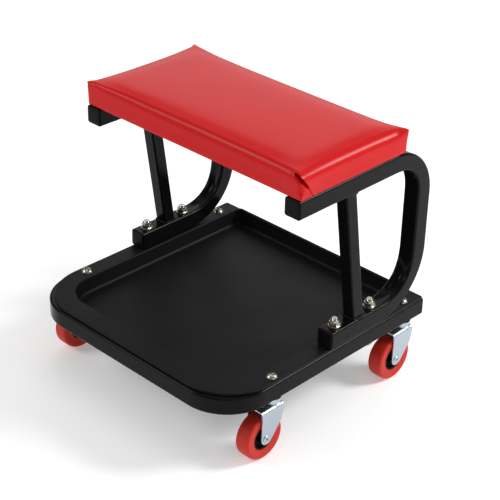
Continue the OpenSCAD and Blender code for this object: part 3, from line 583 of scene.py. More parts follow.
for side, name in ((-1, "left"), (1, "right")):
    body_form = skin([post_ring(z) for z in np.linspace(FOOT_TOP - 0.5, RAIL_UNDER + 0.5, 5)])
    beads = [weld_bead(FOOT_TOP, 1, 11 + side), weld_bead(RAIL_UNDER, -1, 15 + side)]
    make_piece(name + "_welded_post", moved(join(body_form, *beads), (side * RAIL_X, 0, 0)),
               powder_coated_steel, "frame", [name + "_post"])

# %% [markdown]
# ## End caps
# Each open tube end is shut by a moulded cap, pushed in with a plug. Its face is slightly
# domed and its rim is rounded, so that no sleeve catches on it. The rings run from the
# middle of the face over the rim and back along the plug.

# %% End caps
PLUG = 11.0
CAP_ROUND = 2.2
CAP_CORNER = 3.8
CAP_DOME = 0.35


def cap_form():
    """A cap whose face is at z = 0, pointing towards -Z, with its plug towards +Z."""
    face = [(inset, CAP_DOME * (1 - 2 * inset / TUBE) ** 2, CAP_CORNER)
            for inset in (11.5, 9.0, 6.0, 3.5)]
    rim = [(CAP_ROUND * (1 - math.sin(a)), CAP_DOME + CAP_ROUND * (1 - math.cos(a)), CAP_CORNER)
           for a in np.linspace(0, math.pi / 2, CORNER_STEPS + 1)]
    inside = TUBE_WALL + 0.15
    plug = [(inside, CAP_T, TUBE_CORNER), (inside, CAP_T + PLUG - 1, TUBE_CORNER),
            (inside + 0.8, CAP_T + PLUG, TUBE_CORNER)]
    stack = []
    for inset, z, corner in face + rim + [(0.0, CAP_T, CAP_CORNER)] + plug:
        size = TUBE - 2 * inset
        stack.append([(u, v, z) for u, v in rounded_rectangle(size, size, max(corner - inset, 0.5))])
    return skin(stack)


base_caps = [moved(cap_form(), (side * LEG_X, BASE_D / 2, BASE_Z + TUBE / 2),
                   ((1, 0, 0), (0, 0, 1), (0, -1, 0))) for side in (-1, 1)]
make_piece("base_caps", join(*base_caps), polyethylene_caps, "frame", ["base_end_caps"])
for name, front, z in (("rail", RAIL_FRONT, RAIL_UNDER), ("foot", FOOT_FRONT, FLANGE_Z)):
    caps = [moved(cap_form(), (side * RAIL_X, front, z + TUBE / 2), ((1, 0, 0), (0, 0, -1), (0, 1, 0)))
            for side in (-1, 1)]
    make_piece(name + "_caps", join(*caps), polyethylene_caps, "frame",
               [name + "_end_caps"])

# %% [markdown]
# ## Tool tray
# The tray hangs in the U by a broad flange that lies on the tubes. It is a single skin, so
# it is made as one: the outline of the flange, shrunk ring by ring over its edge, down the
# wall, round the fillet and out over the floor, and then back underneath at the distance of
# the wall. Every corner keeps its own radius, as in the mould.

# %% Tool tray
FLANGE_T = 3.0
WALL = 2.5
WELL_DEPTH = 22.0
WELL_DRAFT, WELL_FILLET = 2.5, 5.0
WELL_HALF_W = BASE_W / 2 - TUBE - 0.3 - WALL
WELL_FRONT, WELL_REAR = -155.0, 184.25
WELL_FLOOR = FLANGE_Z - WELL_DEPTH
PLAN_STEPS = 18
LIP_D, LIP_RISE = 5.0, 2.0
FLANGE_ROUND, WELL_ROUND, UNDER_ROUND = 1.4, 2.0, 0.4
FLANGE_SIDE_IN, FLANGE_FRONT_IN = 1.0, 4.0
FLANGE_CORNERS, WELL_CORNERS = (75.0, 3.0), (46.0, 8.0)
LEAST_CORNER = 0.5
FLOOR_INSETS = (14, 24, 38)


def pan_outline(half_w, front, rear, front_r, rear_r, z):
    """An outline seen from above, with its own radii at the front and at the rear."""
    ring = []
    for quarter in range(4):
        r = rear_r if quarter < 2 else front_r
        sx = 1 if quarter in (0, 3) else -1
        cy = rear - rear_r if quarter < 2 else front + front_r
        for k in range(PLAN_STEPS + 1):
            a = math.pi / 2 * (quarter + k / PLAN_STEPS)
            ring.append((sx * (half_w - r) + r * math.cos(a), cy + r * math.sin(a), z))
    return ring


def flange_ring(inset, z):
    front_r, rear_r = FLANGE_CORNERS
    return pan_outline(BASE_W / 2 - FLANGE_SIDE_IN - inset, FLANGE_FRONT_IN - BASE_D / 2 + inset,
                       BASE_D / 2 - CAP_T - inset, front_r - inset, max(rear_r - inset, LEAST_CORNER), z)


def well_ring(inset, z):
    front_r, rear_r = WELL_CORNERS
    return pan_outline(WELL_HALF_W - inset, WELL_FRONT + inset, WELL_REAR - inset,
                       front_r - inset, max(rear_r - inset, LEAST_CORNER), z)


edge = [math.pi / 2 * k / 6 for k in range(7)]
wall_depth = WELL_DEPTH - WELL_ROUND - WELL_FILLET
tray_rings = [flange_ring(FLANGE_ROUND * (1 - math.cos(a)), FLANGE_Z - FLANGE_ROUND * (1 - math.sin(a)))
              for a in edge]
tray_rings += [well_ring(-WELL_ROUND * (1 - math.sin(a)), FLANGE_Z - WELL_ROUND * (1 - math.cos(a)))
               for a in edge]
tray_rings += [well_ring(WELL_DRAFT * share, FLANGE_Z - WELL_ROUND - wall_depth * share)
               for share in (0.5, 1.0)]
tray_rings += [well_ring(WELL_DRAFT + WELL_FILLET * (1 - math.cos(a)),
                         WELL_FLOOR + WELL_FILLET * (1 - math.sin(a))) for a in edge[1:]]
tray_rings += [well_ring(inset, WELL_FLOOR) for inset in FLOOR_INSETS]
under_z = FLANGE_Z - FLANGE_T
under_rings = [flange_ring(0, under_z + UNDER_ROUND), flange_ring(UNDER_ROUND, under_z),
               well_ring(-WALL, under_z), well_ring(WELL_DRAFT - WALL, WELL_FLOOR + WELL_FILLET)]
under_rings += [well_ring(WELL_DRAFT - WALL + (WELL_FILLET + WALL) * (1 - math.cos(a)),
                          WELL_FLOOR - WALL + (WELL_FILLET + WALL) * (1 - math.sin(a))) for a in edge[1:]]
under_rings += [well_ring(FLOOR_INSETS[-1], WELL_FLOOR - WALL)]
pan = skin(under_rings[::-1] + tray_rings)

lip_half = WELL_HALF_W - 8 + WALL
lip_profile = [(LIP_D / 2 * math.sin(a), -lip_half - LIP_D / 2 * math.cos(a)) for a in edge[1:]]
lip_profile += [(LIP_D / 2 * math.cos(a), lip_half + LIP_D / 2 * math.sin(a)) for a in edge[:-1]]
lip_rings = [[(h, r * math.cos(t), r * math.sin(t))
              for t in np.linspace(0, 2 * math.pi, 24, endpoint=False)] for r, h in lip_profile]
lip = moved(skin(lip_rings), (0, WELL_REAR + WALL / 2, FLANGE_Z + LIP_RISE - LIP_D / 2))
make_piece("moulded_tray", join(pan, lip), polypropylene, "frame", ["tool_tray"], sharp=40)

# %% [markdown]
# ## Bolts and lock nuts
# Four bolts hold the side frames. A lock nut is a hexagon whose corners are turned off at
# 30 degrees, with a collar rolled in over a nylon ring. The hexagon is a skin of rings whose
# radius follows the flats. The bolt's end shows two turns of thread, which winds upwards as
# the angle grows, so each of its rings is one angle of the helix.

# %% Hexagon and collar of a lock nut
BOLT_YS = (15.0, 84.0)
BOLT_D, PITCH = 8.0, 1.25
NUT_FLATS, NUT_HEX_H, NUT_H = 13.0, 5.1, 7.84
WASHER_D, WASHER_T = 16.8, 1.6
TURNED_SHARE, FACE_SHARE = 0.98, 0.475


def hexagon_radius(angle, flats):
    return flats / 2 / math.cos((angle + math.pi / 6) % (math.pi / 3) - math.pi / 6)


def hexagon_rings(flats, height, steps=96):
    """Rings up a hexagon whose corners are turned off at both ends."""
    angles = [2 * math.pi * k / steps for k in range(steps)]
    full = [hexagon_radius(a, flats) for a in angles]
    cut = [math.tan(math.radians(30)) * max(r - flats / 2 * TURNED_SHARE, 0) for r in full]
    face_r = flats * FACE_SHARE
    rings = [[(face_r * math.cos(a), face_r * math.sin(a), 0) for a in angles]]
    rings += [[(r * math.cos(a), r * math.sin(a), c) for a, r, c in zip(angles, full, cut)]]
    rings += [[(r * math.cos(a), r * math.sin(a), height - c) for a, r, c in zip(angles, full, cut)]]
    return rings + [[(face_r * math.cos(a), face_r * math.sin(a), height) for a in angles]]


def round_ring(radius, z, steps=96):
    return [(radius * math.cos(2 * math.pi * k / steps), radius * math.sin(2 * math.pi * k / steps), z)
            for k in range(steps)]


collar = [(5.75, NUT_HEX_H), (5.68, NUT_HEX_H + 0.3), (5.68, NUT_H - 0.9), (5.5, NUT_H - 0.4),
          (5.1, NUT_H - 0.08), (4.75, NUT_H), (4.5, NUT_H - 0.12), (4.4, NUT_H - 0.5), (4.4, 0.4), (4.4, 0.0)]
lock_nut = skin(hexagon_rings(NUT_FLATS, NUT_HEX_H) + [round_ring(r, z) for r, z in collar], capped=False)
rim, bore = WASHER_D / 2, 4.2
washer = turn_profile([(bore, 0), (rim - 0.25, 0), (rim, 0.3), (rim, WASHER_T - 0.4),
                       (rim - 0.15, WASHER_T - 0.12), (rim - 0.45, WASHER_T), (bore, WASHER_T)], 72)


def at_bolts(form, z):
    """The form once at each of the four bolts of the side frames."""
    return join(*[moved(form, (side * RAIL_X, y, z)) for side in (-1, 1) for y in BOLT_YS])


make_piece("frame_lock_nuts", at_bolts(lock_nut, FOOT_TOP + WASHER_T), zinc_fastener,
           "frame", ["frame_nuts"], sharp=30)
make_piece("frame_flat_washers", at_bolts(washer, FOOT_TOP), zinc_fastener,
           "frame", ["frame_washers"], sharp=40)

# %% [markdown]
# A thread is a groove that winds round the bolt and climbs by its pitch in each turn. Four
# rings per turn, each tilted along the helix, are enough for the few turns that show. The
# end of a real bolt is turned off to a cone, and the rings there shrink to it.

# %% Threaded bolts with hexagon heads
BOLT_HEAD_H = 5.28
BOLT_START = 82.0
THREAD_L = 12.0
THREAD_DEPTH = 0.55


def threaded_bolt(start, end):
    """A bolt with its head under the start and its thread winding up to a turned-off end."""
    turns = int(THREAD_L / PITCH * 4)
    rings = [[(x, y, start - BOLT_HEAD_H + z) for x, y, z in ring]
             for ring in hexagon_rings(NUT_FLATS, BOLT_HEAD_H)]
    rings += [round_ring(BOLT_D / 2, start), round_ring(BOLT_D / 2, end - THREAD_L)]
    for k in range(turns + 1):
        ring = []
        for n in range(96):
            z = end - THREAD_L + PITCH * (k / 4 + n / 96)
            depth = 0.5 - 0.5 * math.cos(2 * math.pi * k / 4)
            radius = min(BOLT_D / 2 - THREAD_DEPTH * depth, BOLT_D / 2 - 0.3 + max(end - z, 0) * 0.9)
            a = 2 * math.pi * n / 96
            ring.append((radius * math.cos(a), radius * math.sin(a), min(z, end)))
        rings.append(ring)
    return skin(rings + [round_ring(BOLT_D / 2 - 1.2, end)])


bolt_end = FOOT_TOP + WASHER_T + NUT_H + 2.5
make_piece("frame_hexagon_bolts", at_bolts(threaded_bolt(BOLT_START, bolt_end), 0), zinc_fastener,
           "frame", ["frame_bolts"], sharp=35)

# %% [markdown]
# ## Wheels
# The tyre is a smooth ring with rounded shoulders and, round the middle of its tread, the
# hair-thin line where the halves of the mould met. The hub has a thick boss for its axle, a
# thin web and a rim. Both are profiles turned about the axle. The tyre grips a key on the
# hub's rim, which stays hidden between them.

# %% Turned profiles of tyre and hub
WHEEL_R, WHEEL_W = 31.75, 22.0
HUB_R = 17.75
SHOULDER = 3.5
SLEEVE_R = 4.8


def arc(cr, ch, radius, start, end, steps=8):
    """Points of an arc in a turned profile, as (radius, height)."""
    return [(cr + radius * math.cos(math.radians(a)), ch + radius * math.sin(math.radians(a)))
            for a in np.linspace(start, end, steps + 1)]


half = WHEEL_W / 2
crown = 0.25
tyre_profile = [(HUB_R, -9.6), (HUB_R + 2.0, -9.9)]
tyre_profile += [(WHEEL_R - SHOULDER - 3, -half + 0.1)]
tyre_profile += arc(WHEEL_R - crown - SHOULDER, -half + SHOULDER, SHOULDER, -90, 0)
tyre_profile += [(WHEEL_R - 0.08, -half / 3), (WHEEL_R - 0.02, -0.45), (WHEEL_R, -0.2),
                 (WHEEL_R, 0.2), (WHEEL_R - 0.02, 0.45), (WHEEL_R - 0.08, half / 3)]
tyre_profile += arc(WHEEL_R - crown - SHOULDER, half - SHOULDER, SHOULDER, 0, 90)
tyre_profile += [(WHEEL_R - SHOULDER - 3, half - 0.1), (HUB_R + 2.0, 9.9), (HUB_R, 9.6)]

boss, web, rim_in, rim_h, boss_h = 8.0, 3.5, HUB_R - 2.6, 9.0, 11.5
hub_profile = [(SLEEVE_R + 0.08, -boss_h), (boss - 0.5, -boss_h), (boss, -boss_h + 0.5)]
hub_profile += arc(boss + 1.5, -web - 1.5, 1.5, 180, 90, 4)
hub_profile += arc(rim_in - 1.5, -web - 1.5, 1.5, 90, 0, 4)
hub_profile += [(rim_in, -rim_h + 0.4), (rim_in + 0.4, -rim_h), (HUB_R - 0.3, -rim_h), (HUB_R, -rim_h + 0.3)]
hub_profile += [(r, -h) for r, h in hub_profile[::-1]]

# %% [markdown]
# ## Caster forks
# A fork is one pressing: a flat plate whose legs are bent down on both sides of the wheel.
# Its middle is pushed up to a round head that runs on the balls. The plate is drawn as a
# strip that goes up one leg, over the bridge and down the other. At each height the strip is
# as wide as the leg's outline there, and Solidify gives it the thickness of the sheet. A
# small bevel rounds the cut edges, as tumbling does before the plating bath.

# %% Fork outline and pressing
DROP, TRAIL = 50.25, 21.5
FORK_OUTER, SHEET = 13.8, 2.0
TUMBLED_R = 0.35
FORK_BEND = 4.4
BRIDGE = 8.42
TIP_R = 9.9
TIP_PAST_AXLE = 1.1
TIP_Y, TIP_Z = TIP_PAST_AXLE - TRAIL, TIP_PAST_AXLE - DROP
FRONT_SLANT = 1.2
WAIST = (4.0, -34.5)
touch = math.atan2(WAIST[1] - TIP_Z, WAIST[0] - TIP_Y) - math.acos(
    TIP_R / math.hypot(WAIST[1] - TIP_Z, WAIST[0] - TIP_Y))
touch_point = (TIP_Y + TIP_R * math.cos(touch), TIP_Z + TIP_R * math.sin(touch))


def leg_span(z):
    """Where the leg's outline starts and ends, from front to rear, at a height."""
    rise = max(0.0, min(1.0, (z - TIP_Z) / (-BRIDGE - FORK_BEND - TIP_Z)))
    reach = math.sqrt(max(TIP_R ** 2 - (z - TIP_Z) ** 2, 0.0))
    front = TIP_Y - reach if z < TIP_Z else TIP_Y - TIP_R + FRONT_SLANT * rise
    if z < touch_point[1]:
        return front, TIP_Y + reach
    path = [touch_point, WAIST, (8.1, -21.5), (9.0, -14.0), (9.0, 0.0)]
    return front, float(np.interp(z, [p[1] for p in path], [p[0] for p in path]))


def fork_strip():
    """The outer face of the bent plate, as rows from the foot of one leg to the foot of the other."""
    low = TIP_Z - TIP_R
    leg = [(-FORK_OUTER, low + TIP_R * (1 - math.cos(t))) for t in np.linspace(0.02, math.pi / 2, 12)]
    leg += [(-FORK_OUTER, z) for z in np.linspace(TIP_Z, -BRIDGE - FORK_BEND, 18)[1:]]
    bend = [(-FORK_OUTER + FORK_BEND * (1 - math.cos(t)), -BRIDGE - FORK_BEND + FORK_BEND * math.sin(t))
            for t in np.linspace(0, math.pi / 2, 8)[1:]]
    half_path = leg + bend + [(-6.0, -BRIDGE)]
    path = half_path + [(-x, z) for x, z in half_path[::-1]]
    rows = []
    for x, z in path:
        front, back = leg_span(min(z, -BRIDGE - FORK_BEND))
        rows.append([(x, front + (back - front) * s, z) for s in np.linspace(0, 1, 9)])
    return skin(rows, closed=False, capped=False)


head_profile = [(7.0, -4.02), (10.5, -4.02), (11.05, -4.17), (11.2, -4.7), (11.2, -5.4)]
head_profile += [(11.3, -6.1), (11.6, -6.9), (12.1, -7.6), (12.8, -8.15), (13.4, -BRIDGE)]
head_profile += [(13.4, -BRIDGE - 0.6), (7.0, -BRIDGE - 0.6)]

# %% [markdown]
# ## Casters
# The four casters are the same. Each has a fork that swivels under the base and a wheel that
# rolls in the fork, so fork and wheel are separate pieces on their own bodies. The race, the
# kingpin, the axle and the balls keep their CAD meshes, which are exact turned forms.

# %% Build the four casters
CASTERS = {"front_left": (-1, -98.0), "front_right": (1, -98.0),
           "rear_left": (-1, 158.0), "rear_right": (1, 158.0)}
ABOUT_X = ((0, 0, -1), (0, 1, 0), (1, 0, 0))
for corner, (side, y) in CASTERS.items():
    top = (side * LEG_X, y, BASE_Z)
    axle = (side * LEG_X, y - TRAIL, BASE_Z - DROP)
    make_piece(corner + "_wheel_tyre", moved(turn_profile(tyre_profile, 96), axle, ABOUT_X), polyurethane,
               corner + "_wheel", [corner + "_tyre"])
    make_piece(corner + "_wheel_hub", moved(turn_profile(hub_profile, 72), axle, ABOUT_X), nylon_hub,
               corner + "_wheel", [corner + "_hub"])
    plate = make_piece(corner + "_pressed_fork", moved(fork_strip(), top), zinc_fork,
                       corner + "_swivel", [corner + "_fork"])
    sheet = plate.modifiers.new("sheet", "SOLIDIFY")
    sheet.thickness, sheet.offset = SHEET * MM, -1
    tumbled = plate.modifiers.new("tumbled_edges", "BEVEL")
    tumbled.width, tumbled.segments, tumbled.limit_method = TUMBLED_R * MM, 3, "ANGLE"
    tumbled.angle_limit = math.radians(60)
    plate.modifiers.move(plate.modifiers.find("even_flats"), 2)
    make_piece(corner + "_fork_head", moved(turn_profile(head_profile, 72), top), zinc_fork,
               corner + "_swivel")

# %% [markdown]
# ## Seat cushion
# The cushion is foam on a board with vinyl pulled tight over both. Tight vinyl over foam is
# never a plain rounded block: it swells where nothing holds it and stays low where it is
# pulled over an edge. So a plain rounded form is drawn in small cells and swollen
# as cloth, with its lower edge pinned where it is stapled to the board. The cells are laid
# out and not remeshed, so that they can be smaller where the folds come.

# %% Cells of the seat cover, closer together towards the corners
SEAT_L, SEAT_W, SEAT_T, SEAT_Y = 382.5, 194.5, 33.5, 24.0
ROLL_X, ROLL_Y, ROLL_H = 13.0, 8.0, 12.0
HEM_R = 1.6
CELLS_L, CELLS_W = 72, 36
TURN_IN = 33.0


def cell_lines(size, count, crowding=0.6):
    """Places of the lines between cells, across a side of the seat."""
    t = np.arange(count + 1) / count
    return size * (t - 0.5 - crowding * np.sin(2 * math.pi * t) / (2 * math.pi))


lines_l, lines_w = cell_lines(SEAT_L, CELLS_L), cell_lines(SEAT_W, CELLS_W)
print("cells from", round(lines_l[1] - lines_l[0], 1), "to", round(max(np.diff(lines_l)), 1), "mm long")

# %% [markdown]
# The cover is a bag. Its sides rise from a small round at the board and roll over into the
# top, its top is one sheet, and underneath only a band is turned in, as the real vinyl is.
# The rings of the sides use the same lines as the sheets, so that their edges meet.

# %% Closed form of the cover: sides, top and the band that is turned in
def cell_places(inset_x, inset_y):
    return lines_l * (1 - 2 * inset_x / SEAT_L), lines_w * (1 - 2 * inset_y / SEAT_W)


def cell_sheet(inset_x, inset_y, z, depth=None):
    """A sheet of cells inside the seat's outline. With a depth, only a band along its edges."""
    xs, ys = cell_places(inset_x, inset_y)
    points = [(x, y, z) for x in xs for y in ys]
    faces = []
    for i in range(CELLS_L):
        for j in range(CELLS_W):
            reach = min(xs[i + 1] - xs[0], xs[-1] - xs[i], ys[j + 1] - ys[0], ys[-1] - ys[j])
            if depth is None or reach < depth:
                a = i * (CELLS_W + 1) + j
                faces.append((a, a + CELLS_W + 1, a + CELLS_W + 2, a + 1))
    return points, faces


def side_ring(inset_x, inset_y, z):
    xs, ys = cell_places(inset_x, inset_y)
    ring = [(x, ys[0], z) for x in xs[:-1]] + [(xs[-1], y, z) for y in ys[:-1]]
    return ring + [(x, ys[-1], z) for x in xs[:0:-1]] + [(xs[0], y, z) for y in ys[:0:-1]]


def cover_form(roll_x, roll_y, roll_h):
    """The cover. Its top edges roll over by so much at its ends, along its sides and downwards."""
    top_z = RAIL_TOP + SEAT_T
    hem, roll = np.linspace(0, math.pi / 2, 3), np.linspace(0, math.pi / 2, 7)
    levels = [(HEM_R * (1 - math.sin(a)), HEM_R * (1 - math.sin(a)),
               RAIL_TOP + HEM_R * (1 - math.cos(a))) for a in hem]
    levels += [(0, 0, z) for z in np.linspace(RAIL_TOP + HEM_R, top_z - roll_h, 8)[1:-1]]
    levels += [(roll_x * (1 - math.cos(a)), roll_y * (1 - math.cos(a)),
                top_z - roll_h * (1 - math.sin(a))) for a in roll]
    return join(skin([side_ring(*level) for level in levels], capped=False),
                cell_sheet(roll_x, roll_y, top_z), cell_sheet(HEM_R, HEM_R, RAIL_TOP, TURN_IN))


# %% [markdown]
# Where the vinyl is pulled hard, at three of the corners and along the left end, the foam's
# edge is squeezed and looks sharp. Elsewhere it rolls over softly. Both forms have the same
# points, so the cover is a blend of the two. The top is crowned and the sides draw in.

# %% Soft edges, sharp corners, a crown and drawn-in sides
SEAT_CROWN = 2.0
SIDE_DRAW = 1.6
CORNER_REACH = 12.0
TIGHT_ROLLS = (4.0, 3.0, 4.0)
OPEN_CORNER_TIGHTNESS = 0.1
LEFT_TIGHTNESS = 0.65
LEFT_START, LEFT_RUN = 90.0, 90.0

soft_form, sharp_form = cover_form(ROLL_X, ROLL_Y, ROLL_H), cover_form(*TIGHT_ROLLS)
x, y, z = sharp_form[0].T
to_corner = np.hypot(SEAT_L / 2 - np.abs(x), SEAT_W / 2 - np.abs(y))
sharpness = np.exp(-(to_corner / CORNER_REACH) ** 2)
sharpness *= np.where((x > 0) & (y < 0), OPEN_CORNER_TIGHTNESS, 1.0)
sharpness = np.maximum(sharpness, LEFT_TIGHTNESS * np.clip((-x - LEFT_START) / LEFT_RUN, 0, 1))
shape = soft_form[0] + sharpness[:, None] * (sharp_form[0] - soft_form[0])
x, y, z = shape.T
u, v, height = x / (SEAT_L / 2), y / (SEAT_W / 2), np.clip((z - RAIL_TOP) / SEAT_T, 0, 1)
shape = np.array([x - np.sign(x) * SIDE_DRAW * height * (1 - v ** 2) * np.abs(u) ** 10,
                  y - np.sign(y) * SIDE_DRAW * height * (1 - u ** 2) * np.abs(v) ** 6 + SEAT_Y,
                  z + SEAT_CROWN * height * (1 - u ** 2) * (1 - v ** 2)]).T
cushion = make_piece("vinyl_cushion", (shape, soft_form[1]), pvc_vinyl, "frame",
                     ["seat_cover", "seat_foam"], sharp=180)
cushion.modifiers.clear()

# %% [markdown]
# The edge that is turned in under the board is pinned, and so is the lowest part of the
# sides. Gravity is switched off, because the foam inside carries the vinyl from all sides.
# By itself this vinyl would stretch like a balloon, and real foam gives only a little, so
# the move is capped at a few millimetres. Near a corner, where folded vinyl is several
# layers thick, it fades out. What is left is evened out with the points round each point.

# %% Swell the vinyl over the foam
SWELL_CAP = 2.5
SWELL_SMOOTHING = 24
PINNED_TO = 6.0
SWELL_FRAMES = 20
CALM_START, CALM_RUN = 10.0, 40.0


def averaged(piece, field, passes):
    """A field on a piece's points, evened out with the points around each point."""
    ends = np.array([edge.vertices[:] for edge in piece.data.edges])
    neighbours = np.bincount(ends.ravel(), minlength=len(field))[:, None]
    for _ in range(passes):
        around = np.zeros_like(field)
        np.add.at(around, ends[:, 0], field[ends[:, 1]])
        np.add.at(around, ends[:, 1], field[ends[:, 0]])
        field = (field + around / neighbours) / 2
    return field


before = np.array([vertex.co for vertex in cushion.data.vertices])
held = cushion.vertex_groups.new(name="stapled")
for i, height_m in enumerate(before[:, 2]):
    if height_m < (RAIL_TOP + PINNED_TO) * MM:
        held.add([i], 1.0, "REPLACE")
cloth = cushion.modifiers.new("swell", "CLOTH")
cloth.settings.use_pressure = True
cloth.settings.uniform_pressure_force = 4
cloth.settings.effector_weights.gravity = 0
cloth.settings.vertex_group_mass = "stapled"
cloth.settings.quality = 6
cloth.point_cache.frame_start, cloth.point_cache.frame_end = 1, SWELL_FRAMES
for step in range(1, SWELL_FRAMES + 1):
    bpy.context.scene.frame_set(step)
swollen_mesh = cushion.evaluated_get(bpy.context.evaluated_depsgraph_get()).to_mesh()
swollen = np.array([vertex.co for vertex in swollen_mesh.vertices])
move = swollen - before
length = np.linalg.norm(move, axis=1, keepdims=True)
print("vinyl would move by up to", round(float(length.max()) / MM, 2), "mm, cap", SWELL_CAP, "mm")
move *= np.minimum(1, SWELL_CAP * MM / np.maximum(length, 1e-9))
corner_x = np.abs(before[:, 0]) / MM - SEAT_L / 2
corner_y = np.abs(before[:, 1] / MM - SEAT_Y) - SEAT_W / 2
move *= np.clip((np.hypot(corner_x, corner_y) - CALM_START) / CALM_RUN, 0, 1)[:, None]
move = averaged(cushion, move, SWELL_SMOOTHING)
cushion.modifiers.clear()
cushion.vertex_groups.clear()
bpy.context.scene.frame_set(1)
cushion.data.vertices.foreach_set("co", (before + move).ravel())

# %% [markdown]
# ### Folded corners
# An upholsterer pulls the long panel round the corner, folds the spare vinyl under the next
# side like the paper on a parcel, and staples it. That leaves a slanting lip, a dark hollow
# behind it and the rounded hem of the inner layer, and it pulls the corner out to a small
# point. Such a fold could be sculpted by hand. Here the points are moved by a rule instead,
# so that it can be read and changed. A rule can't bend what has no points, so the cover is
# subdivided once, and its cells are halved again round the corners, where the folds come.

# %% Smaller cells at the corners
def apply_modifiers(piece):
    bpy.context.view_layer.objects.active = piece
    with bpy.context.temp_override(object=piece, active_object=piece, selected_objects=[piece]):
        for modifier in list(piece.modifiers):
            bpy.ops.object.modifier_apply(modifier=modifier.name)


softer = cushion.modifiers.new("smooth_cells", "SUBSURF")
softer.levels = softer.render_levels = 1
apply_modifiers(cushion)
cells = bmesh.new()
cells.from_mesh(cushion.data)


def around_corner(x, y):
    """Distance of a point past the nearest corner, counted from the plain side to the folded one."""
    in_x, in_y = SEAT_L / 2 - np.abs(x), SEAT_W / 2 - np.abs(y - SEAT_Y)
    return np.where(y < SEAT_Y, in_y - in_x, in_x - in_y), np.minimum(in_x, in_y)


SKIN_BAND = 12.0
ALL_HEIGHTS = (0.5, 40.0)


def halve_cells(span, heights, open_only=False):
    """Halves the cells of the sides within a span round each corner and between two heights."""
    def inside(w):
        x, y, z = w.co / MM
        around, inward = around_corner(x, y)
        here = span[0] < around < span[1] and heights[0] < z - RAIL_TOP < heights[1]
        return here and inward < SKIN_BAND and (not open_only or (x > 0 and y < SEAT_Y))
    edges = [edge for edge in cells.edges if all(inside(w) for w in edge.verts)]
    bmesh.ops.subdivide_edges(cells, edges=edges, cuts=1, use_grid_fill=True)


halve_cells((-5, 27), ALL_HEIGHTS)
halve_cells((-18, -4), ALL_HEIGHTS, open_only=True)
halve_cells((-17, 18), (9, 40), open_only=True)
halve_cells((13, 25), (0.5, 9.5), open_only=True)
cells.to_mesh(cushion.data)
cells.free()
print("cushion has", len(cushion.data.vertices), "points")

# %% [markdown]
# The corner is thought of as unrolled flat, like a strip of paper. A point on it has a
# distance round the corner and a height, both in millimetres. Two lines are drawn on the
# strip: the lip, where the outer layer ends, and the hem, where the inner layer begins. They
# lie close at the board and at their upper ends and stand apart between. The distance from
# each line, with a sign for its side, is what the fold's profile is worked out from.

# %% Lines of the fold on the unrolled corner
LIP = [(21.5, 0), (18.8, 4.9), (13.9, 13.2), (8.8, 20.2),
       (2.2, 27.5), (-3.8, 32.0), (-8.5, 32.2), (-13.2, 30.5)]
HEM = [(20.3, 0), (17.2, 4.4), (12.4, 11.8), (9.2, 14.9),
       (2.6, 20.4), (-5.2, 25.4), (-9.7, 27.2), (-13.2, 30.3)]


def eased(t):
    """Rises softly from 0 to 1."""
    t = np.clip(t, 0, 1)
    return t * t * (3 - 2 * t)


def quarter_round(t):
    """Falls from 1 to 0 as a quarter of a circle does."""
    return 1 - np.sqrt(1 - (1 - np.clip(t, 0, 1)) ** 2)


def flowing(line, passes=40):
    """The line with 60 even steps and without its kinks."""
    steps = np.array(line, float)
    reach = np.insert(np.cumsum(np.hypot(*np.diff(steps, axis=0).T)), 0, 0)
    even = np.linspace(0, reach[-1], 61)
    steps = np.array([np.interp(even, reach, steps[:, 0]), np.interp(even, reach, steps[:, 1])]).T
    for _ in range(passes):
        steps[1:-1] = (steps[:-2] + 2 * steps[1:-1] + steps[2:]) / 4
    return steps


def beyond(line, around, height):
    """Distance of points past a line, counted towards the outer layer of vinyl."""
    nearest, signed = np.full(len(around), np.inf), np.zeros(len(around))
    for (u0, z0), (u1, z1) in zip(line, line[1:]):
        du, dz, pu, pz = u1 - u0, z1 - z0, around - u0, height - z0
        t = np.clip((pu * du + pz * dz) / (du * du + dz * dz), 0, 1)
        distance = np.hypot(pu - t * du, pz - t * dz)
        signed = np.where(distance < nearest, distance * np.sign(dz * pu - du * pz), signed)
        nearest = np.minimum(nearest, distance)
    return signed


# %% [markdown]
# Across the fold, the outer layer rolls in at its lip, the hollow lies deep behind it, and
# the hem of the inner layer rolls back out. The hollow is deep only where there is foam
# behind it, because the plywood board is just under the vinyl lower down. So the hem's
# radius and the hollow's depth are each given for a shut fold, with what is added where it
# is ajar and where there is foam as well. The inner layer goes round the corner in a wide
# curve and not over a sharp edge.

# %% Depth of the fold and round of the inner layer
LIP_R, LIP_FALL, HEM_FALL = 1.1, 0.6, 0.8
INNER_R = 8.0
BOARD_TOP, BOARD_FADE = 10.5, 9.0
AJAR_FROM, AJAR_RUN = 1.0, 3.0
INNER_INSET, INSET_RUN = 0.6, 6.0
HEM_RADII = (0.6, 0.4, 4.0)
POCKET_DEPTHS = (1.8, 0.6, 11.0)


def fold_depth(past_lip, past_hem, around, height, lip_r):
    """How far the vinyl lies inside its plain side, from the outer layer to the inner one."""
    ajar = eased((past_hem - past_lip - AJAR_FROM) / AJAR_RUN)
    in_foam = ajar * eased((height - BOARD_TOP) / BOARD_FADE)
    hem_r, pocket = (shut + more * ajar + most * in_foam for shut, more, most in (HEM_RADII, POCKET_DEPTHS))
    inset = INNER_INSET * eased(around / INSET_RUN)
    outer = lip_r * quarter_round(past_lip / lip_r)
    inner = inset + hem_r * quarter_round(-past_hem / hem_r)
    hollow = np.minimum(lip_r + (pocket - lip_r) * eased(-past_lip / LIP_FALL),
                        inset + hem_r + (pocket - inset - hem_r) * eased(past_hem / HEM_FALL))
    return np.where(past_lip > 0, outer, np.where(past_hem < 0, inner, hollow))


